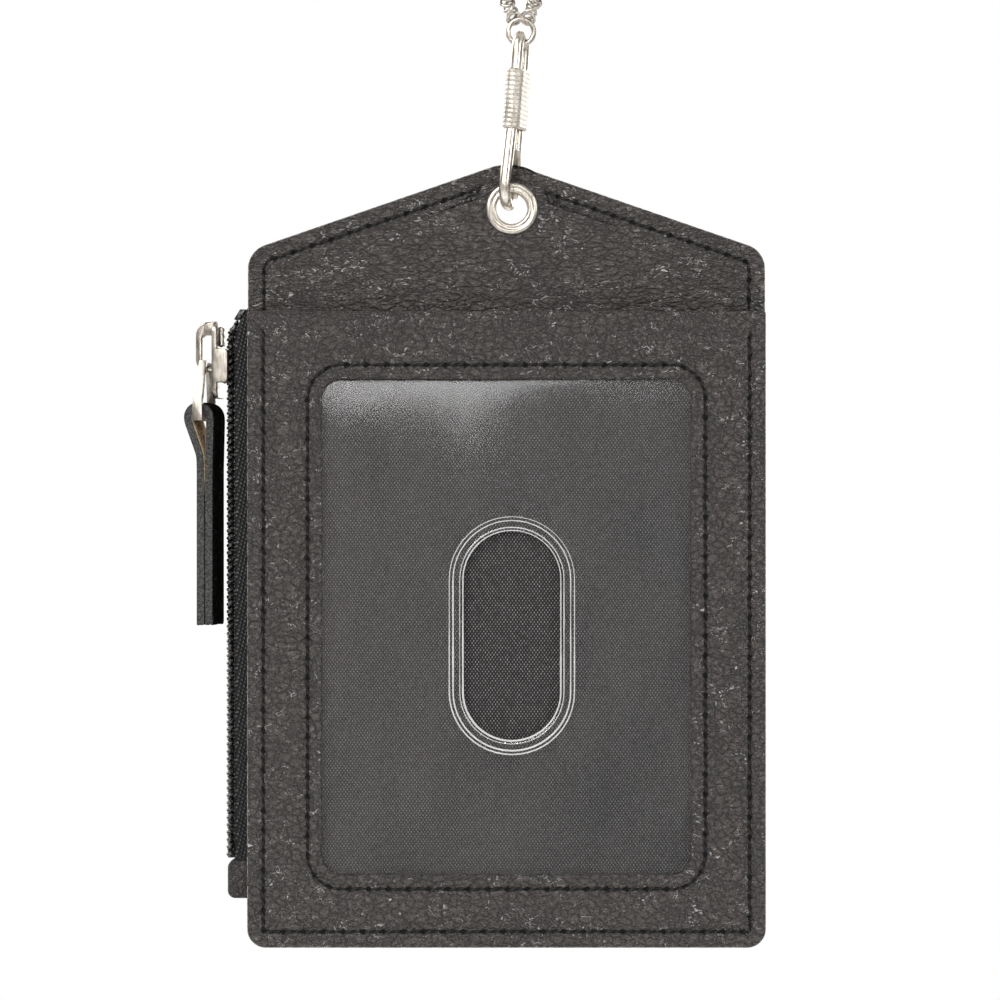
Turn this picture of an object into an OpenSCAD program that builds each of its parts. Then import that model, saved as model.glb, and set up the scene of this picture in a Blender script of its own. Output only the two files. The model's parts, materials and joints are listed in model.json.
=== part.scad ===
// Hanging id badge wallet: leather body with a clear window, side zip, card leaves,
// and a sprung-sleeve hook on two short strands of chain.
// All lengths are in millimetres. +Z is up, the window faces -Y, and the origin is the
// centre of the hanging ring at the top of the chain.

/* [Body] */
// Width of the leather body
body_w = 76.8; // [74:0.2:90]
// Height of the body at its sides, up to where the slopes would start if the corner were sharp
shoulder_h = 103.3; // [100:0.1:112]
// Slope of the two top edges, in degrees
slope_angle = 19; // [12:1:26]
// Radius of the rounded peak
apex_r = 7.3; // [4:0.1:10]
// Radius of the shoulder corners
shoulder_r = 3.7; // [3.2:0.1:6]
// Radius of the bottom corners
foot_r = 2.8; // [2.6:0.1:5]
// Distance of the pocket mouth below the shoulders
mouth_drop = 9; // [7:0.1:12]
// Width of the stitched-down border inside the pocket
border_w = 3.6; // [3:0.1:4.2]

/* [Leather and sheet thickness] */
// Front panel leather
front_t = 0.9; // [0.7:0.05:1.4]
// Clear window sheet
sheet_t = 0.3; // [0.2:0.05:0.5]
// Room for one card between the window sheet and the lining
card_gap = 0.8; // [0.8:0.05:1.6]
// Woven lining behind the card
lining_t = 0.2; // [0.15:0.05:0.4]
// Header leather, which is also the back wall of the card pocket
header_t = 1; // [0.8:0.05:1.2]
// Leather behind the header
divider_t = 0.8; // [0.6:0.05:1]
// Depth of the zipped compartment
coin_gap = 4; // [3.8:0.1:6]
// Leather on the far side of the zipped compartment
rear_t = 0.8; // [0.6:0.05:1.2]
// Leather of one rear card leaf
leaf_t = 0.65; // [0.5:0.05:1]
// Slit under one rear card leaf
leaf_slit = 0.35; // [0.3:0.05:0.8]

/* [Window] */
// Width of the leather on each side of the window
window_side = 11.05; // [9:0.05:14]
// Height of the leather between the window and the pocket mouth
window_head = 10.1; // [8:0.1:14]
// Height of the leather between the bottom edge and the window
window_low = 10.8; // [9:0.1:13]
// Corner radius of the window
window_r = 3; // [1.5:0.1:5]
// Width of the thumb slot in the clear sheet
slot_w = 14.2; // [10:0.1:20]
// Height of the thumb slot
slot_h = 30.9; // [24:0.1:38]
// Distance of the slot's centre below the window's centre
slot_drop = 1.3; // [0:0.1:8]
// Width of the welded rim round the thumb slot
rim_w = 2.35; // [1.5:0.05:3]
// How far the welded rim stands off the sheet
rim_t = 0.25; // [0.15:0.05:0.5]

/* [Stitching] */
// Distance between stitches
stitch_pitch = 3.1; // [2.5:0.1:5]
// Length of one stitch
stitch_len = 2.2; // [1.5:0.1:2.4]
// Thickness of the thread
thread_d = 0.56; // [0.4:0.02:0.8]
// Distance of the outer stitch line from the edge
edge_inset = 2.4; // [2:0.1:2.6]
// Distance of the inner stitch line from the window
window_inset = 2.1; // [1.5:0.1:3]

/* [Card leaves] */
// Distance of the top edge of the upper leaf below the pocket mouth
leaf_drop = 1.1; // [0.8:0.1:4]
// Step from the upper leaf's top edge down to the middle one's
leaf_step_upper = 8.8; // [5:0.1:12]
// Step from the middle leaf's top edge down to the lower one's
leaf_step_lower = 9.7; // [5:0.1:12]
// How far the leaves stand out at the right edge
leaf_proud = 0.5; // [0.2:0.1:1]

/* [Eyelet] */
// Diameter of the hole
eyelet_bore = 4.6; // [4.5:0.05:5]
// Diameter of the rolled front flange
eyelet_flange = 7.8; // [7.2:0.1:9]
// Wall of the eyelet's barrel
eyelet_wall = 0.3; // [0.25:0.05:0.4]
// Height of the rolled front flange
eyelet_roll = 0.55; // [0.4:0.05:0.6]
// Thickness of the washer behind
washer_t = 0.35; // [0.25:0.05:0.4]
// Distance of the eyelet's centre below the peak of the outline
eyelet_drop = 6.5; // [6:0.1:9]
// Distance of the eyelet's centre to the right of the middle
eyelet_shift = 0.8; // [-1:0.1:1]

/* [Zip] */
// How far the coil stands out to the left of the body
zip_reach = 3.1; // [3:0.05:4.5]
// Width of the closed coil
coil_w = 4; // [3.6:0.1:4]
// Thickness of the coil
coil_t = 0.95; // [0.7:0.05:1]
// Distance between the teeth on one side
tooth_pitch = 1.1; // [1:0.05:1.6]
// Thickness of the zip tape
tape_t = 0.5; // [0.3:0.05:0.6]
// How far the zip tape runs on above the pocket mouth
zip_over = 0.9; // [0.3:0.1:1.5]
// Height of the bottom end of the zip tape
zip_low = 12.7; // [11:0.1:16]
// Height of the leather tab that closes the zip's lower end
end_tab_h = 5.7; // [4:0.1:6]

/* [Slider and pull] */
// Length of the slider
slider_len = 11.5; // [9:0.1:13]
// Distance of the slider's top below the top of the tape
slider_drop = 2.3; // [2.2:0.1:4]
// Turn of the slider and its pull towards the front, in degrees
slider_turn = 9; // [0:1:12]
// Length of the metal pull link
link_len = 9.2; // [8:0.1:12]
// Width of the link's lower bar
link_w = 10.8; // [9.6:0.1:13]
// Length of the leather pull tab
tab_len = 33.3; // [24:0.1:40]
// Thickness of the leather of the pull tab
tab_t = 1.2; // [0.8:0.05:1.3]

/* [Hook] */
// Diameter of the hook's wire
wire_d = 1.7; // [1.4:0.05:1.75]
// Length of the hook over all
hook_len = 27; // [27:0.1:31]
// Radius of the bow that passes through the eyelet
bow_r = 3; // [3:0.05:3.6]
// Half the distance between the two legs inside the sleeve
leg_half = 1.9; // [1.7:0.05:2.1]
// Length of the ribbed sleeve
sleeve_len = 8.9; // [8:0.1:9.5]
// Number of ribs on the sleeve
rib_count = 9; // [5:1:11]
// Upward travel of the sleeve
gate_travel = 3; // [1:0.1:3]
// Turn of the hook about its own length, in degrees
hook_turn = 15; // [0:1:20]
// Lean of the hook to the right, in degrees
hook_lean = 4.5; // [0:0.5:8]

/* [Chain] */
// Diameter of the jump ring's wire
jump_wire = 0.8; // [0.7:0.05:0.85]
// Radius of the jump ring, to the middle of its wire
jump_r = 1.9; // [1.9:0.05:2.2]
// Diameter of the chain's wire
link_wire = 0.5; // [0.4:0.05:0.5]
// Radius of one chain link, to the middle of its wire
link_r = 1; // [0.95:0.05:1.05]
// Number of pairs of small links in one strand
link_pairs = 3; // [2:1:6]
// Lean of each strand away from the upright, in degrees
strand_lean = 22; // [20:1:26]
// Radius of the hanging ring's hole
hang_r = 4.5; // [3:0.1:6]
// Width of the hanging ring's band
hang_band = 2; // [1.5:0.1:3]
// Thickness of the hanging ring
hang_t = 1.2; // [1:0.05:1.25]

/* [Hidden] */

$fn = 64;
// Overrun of every cut
cut = 1;
// Gap left at each touching metal joint of the chain and the hook
snug = 0.05;
// Running gap of the sleeve on its wires
sleeve_gap = 0.1;

// Depths of the layers, from the seam between the header and the divider
header_y = -header_t;
lining_y = header_y - lining_t;
sheet_y = lining_y - card_gap - sheet_t;
front_y = sheet_y - front_t;
lip_t = header_y - sheet_y;
coin_y = divider_t;
rear_y = coin_y + coin_gap;
leaf_y0 = rear_y + rear_t;
leaf_step = leaf_slit + leaf_t;

// Heights that follow the shoulders
mouth_h = shoulder_h - mouth_drop;
zip_top = mouth_h + zip_over;
upper_top = mouth_h - leaf_drop;
middle_top = upper_top - leaf_step_upper;
leaf_tops = [upper_top, middle_top, middle_top - leaf_step_lower];
window_w = body_w - 2 * window_side;
window_h = mouth_h - window_head - window_low;
slot_mid = window_low + window_h / 2 - slot_drop;

// Outline of the body
half_w = body_w / 2;
peak_h = shoulder_h + half_w * tan(slope_angle) - apex_r * (1 / cos(slope_angle) - 1);
shoulder_in = tan(45 - slope_angle / 2);

// Each corner of the outline as [x, height, radius, first normal, last normal]
BODY_CORNERS = [
    [-half_w + foot_r, foot_r, foot_r, 180, 270],
    [half_w - foot_r, foot_r, foot_r, 270, 360],
    [half_w - shoulder_r, shoulder_h - shoulder_r * shoulder_in, shoulder_r, 0, 90 - slope_angle],
    [0, peak_h - apex_r, apex_r, 90 - slope_angle, 90 + slope_angle],
    [-half_w + shoulder_r, shoulder_h - shoulder_r * shoulder_in, shoulder_r, 90 + slope_angle, 180],
];

// A point of a corner's arc, drawn in by an inset
function corner_point(c, angle, inset) =
    [c[0] + (c[2] - inset) * cos(angle), c[1] + (c[2] - inset) * sin(angle)];

// Corners of an upright rectangle with one radius
function box_corners(x0, z0, x1, z1, r) = [
    [x0 + r, z0 + r, r, 180, 270],
    [x1 - r, z0 + r, r, 270, 360],
    [x1 - r, z1 - r, r, 0, 90],
    [x0 + r, z1 - r, r, 90, 180],
];

// Convex outline with rounded corners: a polygon through the tangent points and a disc at each corner
module outline(corners, inset = 0) {
    polygon([for (c = corners) for (a = [c[3], c[4]]) corner_point(c, a, inset)]);
    for (c = corners)
        translate([c[0], c[1]]) circle(r = c[2] - inset);
}

// Stands a drawing of X and height upright, from depth y0 towards the back by t
module upright(y0, t) {
    translate([0, y0 + t, 0]) rotate([90, 0, 0]) linear_extrude(t) children();
}

// Body outline below a height
module body_below(height, inset = 0) {
    intersection() {
        outline(BODY_CORNERS, inset);
        translate([-body_w, 0]) square([2 * body_w, height]);
    }
}

// Everything on the body is drawn with the bottom edge at height 0 and then moved to the ring's frame
eyelet_x = eyelet_shift;
eyelet_h = peak_h - eyelet_drop;

// Window, pocket and panel outlines
WINDOW = box_corners(-window_w / 2, window_low, window_w / 2, window_low + window_h, window_r);
inner_w = half_w - border_w;
pocket_clear = 0.2;
sheet_top = window_low + window_h + border_w;
PANEL_R = 1;
SHEET = box_corners(-inner_w + pocket_clear, border_w + pocket_clear,
    inner_w - pocket_clear, sheet_top, PANEL_R);
LINING = box_corners(-inner_w + pocket_clear, border_w + pocket_clear,
    inner_w - pocket_clear, mouth_h - pocket_clear, PANEL_R);

// Upright stadium
module stadium(w, h, grow = 0) {
    r = w / 2 + grow;
    run = h / 2 - w / 2;
    translate([-r, -run]) square([2 * r, 2 * run]);
    for (side = [-1, 1]) translate([0, side * run]) circle(r = r);
}

module front_panel() {
    color("#3c3a39") {
        difference() {
            upright(front_y, front_t) body_below(mouth_h);
            upright(front_y - cut, front_t + 2 * cut) outline(WINDOW);
        }
        upright(sheet_y, lip_t) difference() {
            body_below(mouth_h);
            translate([-inner_w, border_w]) square([2 * inner_w, mouth_h]);
        }
    }
}

module window_sheet() {
    color("#c8ccd0", 0.4) difference() {
        upright(sheet_y, sheet_t) outline(SHEET);
        translate([eyelet_x, 0, slot_mid]) upright(sheet_y - cut, sheet_t + 2 * cut) stadium(slot_w, slot_h);
    }
}

// Two steps: a broad welded land and a thinner outer bead
module slot_rim() {
    bead = rim_w / 4;
    color("#dfe3e6", 0.6) translate([eyelet_x, 0, slot_mid]) {
        upright(sheet_y - rim_t / 2, rim_t / 2) difference() {
            stadium(slot_w, slot_h, rim_w);
            stadium(slot_w, slot_h);
        }
        for (start = [0, rim_w - bead])
            upright(sheet_y - rim_t, rim_t / 2) difference() {
                stadium(slot_w, slot_h, start + bead);
                stadium(slot_w, slot_h, start);
            }
    }
}

module pocket_lining() {
    color("#1b1b1d") upright(lining_y, lining_t) outline(LINING);
}

// Round hole for the eyelet's barrel through a layer
module eyelet_hole() {
    translate([eyelet_x, coin_y + cut, eyelet_h]) rotate([90, 0, 0])
        cylinder(d = eyelet_bore + 2 * eyelet_wall, h = coin_y - front_y + 2 * cut);
}

module header_panel() {
    color("#444240") difference() {
        upright(header_y, header_t) outline(BODY_CORNERS);
        eyelet_hole();
    }
}

module divider_panel() {
    color("#383635") difference() {
        upright(0, divider_t) outline(BODY_CORNERS);
        eyelet_hole();
    }
}

// Folded leather wall round the top, right and bottom of the zipped compartment
gusset_t = 0.6;
gusset_in = 3.2;
gusset_flange = 3;
tape_in = 5.4;
module gusset_ring(inset_out, inset_in) {
    intersection() {
        body_below(zip_top);
        difference() {
            translate([-body_w, inset_out])
                square([body_w + half_w - inset_out, zip_top - 2 * inset_out]);
            translate([-body_w, inset_in])
                square([body_w + half_w - inset_in, zip_top - 2 * inset_in]);
        }
    }
}
module gusset() {
    color("#2f2d2c") difference() {
        union() {
            upright(coin_y, coin_gap) gusset_ring(gusset_in, gusset_in + gusset_t);
            for (y = [coin_y, rear_y - gusset_t])
                upright(y, gusset_t) gusset_ring(0, gusset_in + gusset_t);
        }
        translate([-half_w - cut, coin_y - cut, zip_low - end_tab_h])
            cube([tape_in + 2 * cut, coin_gap + 2 * cut, zip_top]);
    }
}

module rear_panel() {
    color("#383635") upright(rear_y, rear_t) body_below(zip_top);
}

// Outline of one rear card leaf
module leaf_outline(top) {
    leaf = box_corners(-half_w, 0, half_w + leaf_proud, top, foot_r);
    intersection() {
        outline(leaf);
        translate([-body_w, 0]) square([2 * body_w, top]);
    }
    translate([-half_w, top - 2 * foot_r]) square([body_w + leaf_proud, 2 * foot_r]);
}

// One rear leaf with its stitched-down edges; order 0 lies against the rear panel
module card_leaf(order) {
    y0 = leaf_y0 + order * leaf_step;
    top = leaf_tops[order];
    color("#353332") {
        upright(y0 + leaf_slit, leaf_t) leaf_outline(top);
        upright(y0, leaf_slit) difference() {
            leaf_outline(top);
            translate([-inner_w, border_w]) square([2 * inner_w, top]);
        }
    }
}
module card_leaf_upper() { card_leaf(0); }
module card_leaf_middle() { card_leaf(1); }
module card_leaf_lower() { card_leaf(2); }

// One stitch: half a round thread lying on the leather, its length along X
module stitch(len) {
    intersection() {
        translate([-len / 2, 0, 0]) rotate([0, 90, 0]) cylinder(d = thread_d, h = len, $fn = 16);
        translate([-len, -thread_d, -thread_d]) cube([2 * len, thread_d, 2 * thread_d]);
    }
}

// A row of stitches between two points of the upright plane; outwards is -1 for the front, 1 for the rear
module stitch_row(a, b, y, outwards) {
    run = norm(b - a);
    count = floor(run / stitch_pitch);
    dir = atan2(b[1] - a[1], b[0] - a[0]);
    for (i = [0 : count - 1]) {
        place = a + (b - a) * (i + 0.5) / count;
        translate([place[0], y, place[1]]) rotate([0, -dir, 0])
            mirror([0, outwards > 0 ? 1 : 0, 0]) stitch(stitch_len);
    }
}

// End of a stitch line that comes up from q to p, drawn back to keep off the eyelet's flange
function off_eyelet(q, p) =
    let (dir = (q - p) / norm(q - p),
        off = p - [eyelet_x, eyelet_h],
        room = eyelet_flange / 2 + thread_d,
        across_sq = off * off - pow(off * dir, 2))
    p + dir * max(0, sqrt(max(0, room * room - across_sq)) - off * dir);

// A stitch line up one of the two slopes
module slope_row(side, y, outwards) {
    low = [side * EDGE[5][0], EDGE[5][1]];
    stitch_row(low, off_eyelet(low, [side * EDGE[6][0], EDGE[6][1]]), y, outwards);
}

// End points of the stitch lines along the body's edges
EDGE = [for (c = BODY_CORNERS) for (a = [c[3], c[4]]) corner_point(c, a, edge_inset)];
module edge_rows(low_h, y_low, y_high, outwards) {
    stitch_row(EDGE[1], EDGE[2], y_low, outwards);
    for (side = [-1, 1]) {
        x = side * EDGE[3][0];
        stitch_row([x, EDGE[3][1]], [x, low_h - stitch_pitch / 2], y_low, outwards);
        stitch_row([x, low_h + stitch_pitch / 2], [side * EDGE[4][0], EDGE[4][1]], y_high, outwards);
        slope_row(side, y_high, outwards);
    }
}
module body_stitches() {
    color("#141414") edge_rows(mouth_h, front_y, header_y, -1);
}

module window_stitches() {
    x = window_w / 2 + window_inset;
    low = window_low - window_inset;
    high = window_low + window_h + window_inset;
    color("#141414") {
        for (z = [low, high]) stitch_row([-x + window_r, z], [x - window_r, z], front_y, -1);
        for (side = [-1, 1]) stitch_row([side * x, low + window_r], [side * x, high - window_r], front_y, -1);
    }
}

// The rear line steps from leaf to leaf
rear_back = leaf_y0 + 3 * leaf_step;
module rear_stitches() {
    steps = [foot_r, leaf_tops[2], leaf_tops[1], leaf_tops[0]];
    color("#141414") {
        stitch_row(EDGE[1], EDGE[2], rear_back, 1);
        for (side = [-1, 1]) {
            x = side * EDGE[3][0];
            for (i = [0 : 2])
                stitch_row([x, steps[i] + stitch_pitch / 2], [x, steps[i + 1] - stitch_pitch / 2],
                    rear_back - i * leaf_step, 1);
            stitch_row([x, zip_top + stitch_pitch / 2], [side * EDGE[4][0], EDGE[4][1]], divider_t, 1);
            slope_row(side, divider_t, 1);
        }
    }
}

// Ring turned about the eyelet's axis, from a drawing of radius and distance out of the surface
module eyelet_turned(y, outwards) {
    translate([eyelet_x, y, eyelet_h]) rotate([outwards > 0 ? -90 : 90, 0, 0]) rotate_extrude() children();
}

module eyelet_front() {
    band = (eyelet_flange - eyelet_bore) / 2;
    arc_r = (band * band / 4 + eyelet_roll * eyelet_roll) / (2 * eyelet_roll);
    color("#d9d2c4") {
        eyelet_turned(header_y, -1) intersection() {
            translate([eyelet_bore / 2 + band / 2, eyelet_roll - arc_r]) circle(r = arc_r);
            translate([eyelet_bore / 2, 0]) square([band, eyelet_roll]);
        }
        eyelet_turned(header_y, 1) translate([eyelet_bore / 2, 0])
            square([eyelet_wall, header_t + divider_t + washer_t]);
    }
}

module eyelet_back() {
    color("#d9d2c4") eyelet_turned(divider_t, 1) translate([eyelet_bore / 2 + eyelet_wall, 0])
        square([(eyelet_flange - eyelet_bore) / 2 - eyelet_wall, washer_t]);
}

// Zip: the two tapes come out of the left edge, bend towards each other and carry the coil
coil_x = -half_w - zip_reach;
tape_x = coil_x + coil_t;
zip_y = coin_y + coin_gap / 2;
tape_bend = 0.9;
tape_seam = 0.1;

// Draws a part of the front half of the zip, and mirrors it for the rear half
module zip_half(side) {
    translate([0, zip_y, 0]) mirror([0, side > 0 ? 1 : 0, 0]) translate([0, -zip_y, 0]) children();
}

module zip_tape() {
    wall = coin_gap / 2 - tape_seam - tape_bend;
    color("#17171a") translate([0, 0, zip_low]) linear_extrude(zip_top - zip_low) {
        translate([tape_x + tape_bend, coin_y]) square([tape_in - half_w - tape_x - tape_bend, tape_t]);
        translate([tape_x, coin_y + tape_bend]) square([tape_t, wall]);
        intersection() {
            translate([tape_x + tape_bend, coin_y + tape_bend]) difference() {
                circle(r = tape_bend);
                circle(r = tape_bend - tape_t);
            }
            translate([tape_x, coin_y]) square(tape_bend);
        }
    }
}
module zip_tape_front() { zip_half(-1) zip_tape(); }
module zip_tape_rear() { zip_half(1) zip_tape(); }

// Stops and coil, up the outer face of the tapes
stop_gap = 0.3;
stop_h = 1.5;
slider_top = zip_top - slider_drop;
slider_low = slider_top - slider_len;
coil_low = zip_low + stop_h + 2 * stop_gap;
tooth_h = tooth_pitch * 4 / 11;
coil_spine = coil_w / 10;
tooth_count = floor((slider_top - coil_low) / tooth_pitch) - 1;
module zip_coil(phase) {
    color("#0f0f11") translate([coil_x, zip_y - coil_w / 2, coil_low]) {
        cube([coil_t, coil_spine, tooth_count * tooth_pitch]);
        for (i = [0 : tooth_count - 1])
            translate([0, 0, (i + phase) * tooth_pitch]) cube([coil_t, coil_w * 0.62, tooth_h]);
    }
}
module zip_coil_front() { zip_half(-1) zip_coil(0); }
module zip_coil_rear() { zip_half(1) zip_coil(0.5); }

module zip_top_stops() {
    color("#0f0f11") for (side = [-1, 1]) zip_half(side)
        translate([coil_x, zip_y - coil_w / 2, slider_top + stop_gap]) cube([coil_t, coil_w / 3, stop_h]);
}

module zip_bottom_stop() {
    color("#0f0f11") translate([coil_x, zip_y - coil_w / 3, zip_low + stop_gap])
        cube([coil_t, coil_w * 2 / 3, stop_h]);
}

module zip_end_tab() {
    color("#2b2a29") upright(coin_y, coin_gap)
        outline(box_corners(coil_x, zip_low - end_tab_h, tape_in - half_w, zip_low, end_tab_h / 5));
}

// Slider, drawn round the coil's middle line and turned a little towards the front
module slider_frame() {
    translate([coil_x + coil_t / 2, zip_y, 0]) rotate([0, 0, -slider_turn]) children();
}

// Extrudes a drawing of depth and height towards +X
module sideways(x0, t) {
    translate([x0, 0, 0]) rotate([90, 0, 90]) linear_extrude(t) children();
}

coil_room = 0.35;
plate_t = 0.8;
flange_t = 0.8;
plate_in = -coil_t / 2 - coil_w / 2 * sin(slider_turn) - coil_room - coil_t / 2;
plate_x = plate_in - plate_t;
flange_in = coil_w / 2 + coil_room;
slider_half = flange_in + flange_t;
flange_low = slider_low + slider_len * 0.21;
flange_h = slider_len * 0.435;
flange_end = coil_t / 20;
wedge_h = slider_len / 4;

module slider_body() {
    color("#d6cfc0") slider_frame() {
        sideways(plate_x, plate_t)
            outline(box_corners(-slider_half, slider_low, slider_half, slider_top, slider_half / 2));
        for (side = [-1, 1])
            upright(side > 0 ? flange_in : -slider_half, flange_t)
                outline(box_corners(plate_x, flange_low, flange_end, flange_low + flange_h, flange_t * 0.7));
        translate([plate_in - plate_t / 2, -plate_t, slider_top - wedge_h - plate_t])
            cube([plate_t / 2 + coil_room * 1.5, 2 * plate_t, wedge_h]);
    }
}

// Bail: an arch on the plate, open in the middle for the link's upper bar
bail_reach = 2.9;
bail_half = 0.9;
bail_band = 1;
bail_low = slider_low + slider_len * 0.34;
bail_foot = 0.35;
link_bar = 0.9;
link_x = plate_x - bail_reach + bail_band + link_bar / 2 + snug;
bail_open_low = bail_low + bail_band;
link_top = bail_open_low + link_bar / 2 + snug;
module slider_bail() {
    outer_r = bail_reach * 0.7;
    color("#d6cfc0") slider_frame() upright(-bail_half, 2 * bail_half) difference() {
        intersection() {
            outline(box_corners(plate_x - bail_reach, bail_low, plate_x + bail_reach, slider_top, outer_r));
            translate([plate_x - bail_reach, bail_low]) square([bail_reach, slider_len]);
        }
        outline(box_corners(plate_x - bail_reach + bail_band, bail_open_low, plate_x - bail_foot,
            slider_top - 2 * bail_band, link_bar / 2 + snug));
    }
}

// Pull link: a tapered frame hung on the bail by its round upper bar
link_low = link_top - link_len + link_bar + snug * 2;
neck_room = 0.6;
link_neck = bail_half + neck_room;
link_leg = 1.2;
link_thick = 1.6;
low_bar = 1;
tab_gap = 0.2;
loop_r = norm([link_thick, low_bar]) / 2 + tab_gap;
module pull_link() {
    span = link_w / 2 - link_leg;
    // The legs run straight down past the leather loop
    knee = link_low + loop_r + tab_t + tab_gap;
    color("#dcd5c6") slider_frame() {
        translate([link_x, -link_neck - link_leg / 2, link_top]) rotate([-90, 0, 0])
            cylinder(d = link_bar, h = 2 * link_neck + link_leg);
        intersection() {
            sideways(link_x - link_thick, 2 * link_thick) difference() {
                polygon([[-link_neck - link_leg, link_top + link_bar / 3],
                    [link_neck + link_leg, link_top + link_bar / 3],
                    [link_w / 2, knee], [link_w / 2, link_low - low_bar / 2],
                    [-link_w / 2, link_low - low_bar / 2], [-link_w / 2, knee]]);
                polygon([[-link_neck, link_top + link_bar], [link_neck, link_top + link_bar],
                    [link_neck, link_top], [span, knee], [span, link_low + low_bar / 2],
                    [-span, link_low + low_bar / 2], [-span, knee], [-link_neck, link_top]]);
            }
            upright(-link_w, 2 * link_w) polygon([
                [link_x + link_bar / 2, link_top + link_bar], [link_x + link_bar / 2, link_low - low_bar],
                [link_x + link_bar / 2 - link_thick, link_low - low_bar],
                [link_x - link_bar / 2, link_top + link_bar]]);
        }
    }
}

// Leather pull tab: one strip folded round the link's lower bar and glued to itself below the fold
tab_half = link_w / 2 - link_leg - tab_gap;
loop_x = link_x + link_bar / 2 - link_thick / 2;
tab_x = loop_x + loop_r * 0.8;
tab_low = link_low + loop_r + tab_t - tab_len;
fold_low = link_low - tab_len * 0.17;
fold_share = 0.9;
// Round loop and the straight sides below it, which meet at the tip or run on down
module tab_fold(r, half, sides) {
    translate([loop_x, -half, link_low]) rotate([-90, 0, 0]) cylinder(r = r, h = 2 * half);
    upright(-half, 2 * half)
        polygon(concat([[loop_x - r * fold_share, link_low], [loop_x + r * fold_share, link_low]], sides));
}
module pull_tab() {
    color("#33302e") slider_frame() difference() {
        tab_fold(loop_r + tab_t, tab_half, [[tab_x + tab_t, fold_low], [tab_x + tab_t, tab_low],
            [tab_x - tab_t, tab_low], [tab_x - tab_t, fold_low]]);
        tab_fold(loop_r, tab_half + cut, [[tab_x, fold_low]]);
    }
}

// Hook, drawn in its own plane: Y across the two legs, Z up its length, the bow's wire centre at 0
eye_z = hook_len - wire_d - leg_half;
sleeve_z = eye_z - 2 * sleeve_gap - gate_travel - sleeve_len;
flare_z = sleeve_z - sleeve_gap * 3;
tip_z = sleeve_z - wire_d * 2.2;
gate_gap = 0.8;
pin_low = tip_z + gate_gap;
pin_top = sleeve_z + wire_d * 0.7;
spring_solid = 1.4;
spring_top = pin_top + gate_travel + spring_solid;
wire_r = wire_d / 2;
// How much the rounded joints of the wire are thicker than the wire
wire_joint = 0.06;
hook_x = eyelet_x - wire_d * 0.3;
hook_y = (header_y + divider_t) / 2;
hook_h = eyelet_h + wire_d * 0.3;

module hook_frame() {
    translate([hook_x, hook_y, hook_h]) rotate([0, hook_lean, 0]) rotate([0, 0, -hook_turn]) children();
}

// Straight stretch of wire between two points of the hook's plane
module wire(a, b) {
    run = norm(b - a);
    translate([0, a[0], a[1]]) rotate([-atan2(b[0] - a[0], b[1] - a[1]), 0, 0]) cylinder(d = wire_d, h = run);
}

// Half ring of wire; up is 1 for the eye and -1 for the bow
module half_ring(r, z, up) {
    intersection() {
        translate([0, 0, z]) rotate([0, 90, 0]) rotate_extrude() translate([r, 0]) circle(d = wire_d);
        translate([-2 * r, -2 * r, up > 0 ? z : z - 4 * r]) cube(4 * r);
    }
}

module hook_wire() {
    color("#e0dacd") hook_frame() {
        half_ring(bow_r, bow_r, -1);
        half_ring(leg_half, eye_z, 1);
        for (end = [[-bow_r, bow_r], [bow_r, bow_r], [-leg_half, flare_z]])
            translate([0, end[0], end[1]]) sphere(d = wire_d + wire_joint);
        wire([-bow_r, bow_r], [-leg_half, flare_z]);
        wire([bow_r, bow_r], [leg_half, tip_z]);
        wire([-leg_half, flare_z], [-leg_half, eye_z]);
        wire([leg_half, spring_top], [leg_half, eye_z]);
    }
}

sleeve_wall = 0.25;
sleeve_rib = 0.15;
sleeve_in = wire_r + sleeve_gap;
// Section of the sleeve: the room for the wires, grown by a wall
module sleeve_section(grow) {
    stadium(2 * sleeve_in, 2 * (leg_half + sleeve_in), grow);
}
module hook_sleeve() {
    rib = sleeve_len / rib_count;
    color("#e6e1d6") hook_frame() translate([0, 0, sleeve_z]) {
        difference() {
            union() {
                linear_extrude(sleeve_len) sleeve_section(sleeve_wall);
                for (i = [0 : rib_count - 1])
                    translate([0, 0, (i + 0.2) * rib]) linear_extrude(rib * 0.6)
                        sleeve_section(sleeve_wall + sleeve_rib);
            }
            translate([0, 0, -cut]) linear_extrude(sleeve_len + 2 * cut) sleeve_section(0);
        }
        translate([0, 0, rib * 0.2]) linear_extrude(rib * 0.6) difference() {
            sleeve_section(sleeve_wall);
            translate([0, -leg_half]) circle(r = sleeve_in);
            translate([0, leg_half]) circle(r = wire_r);
        }
    }
}

module gate_pin() {
    color("#e0dacd") hook_frame() wire([leg_half, pin_low], [leg_half, pin_top]);
}

module gate_spring() {
    color("#b9b4aa") hook_frame() translate([0, leg_half, pin_top]) difference() {
        cylinder(r = wire_r, h = spring_top - pin_top);
        translate([0, 0, -cut]) cylinder(r = wire_r / 2, h = spring_top - pin_top + 2 * cut);
    }
}

// Jump ring through the hook's eye
pivot_z = eye_z + leg_half - wire_r - snug - jump_wire / 2;
ring_x = hook_x + pivot_z * sin(hook_lean);
pivot_h = hook_h + pivot_z * cos(hook_lean);
jump_h = pivot_h + jump_r;
module wire_ring(r, d) {
    rotate([90, 0, 0]) rotate_extrude() translate([r, 0]) circle(d = d, $fn = 24);
}
module jump_ring() {
    color("#e0dacd") translate([ring_x, hook_y, jump_h]) wire_ring(jump_r, jump_wire);
}

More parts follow.
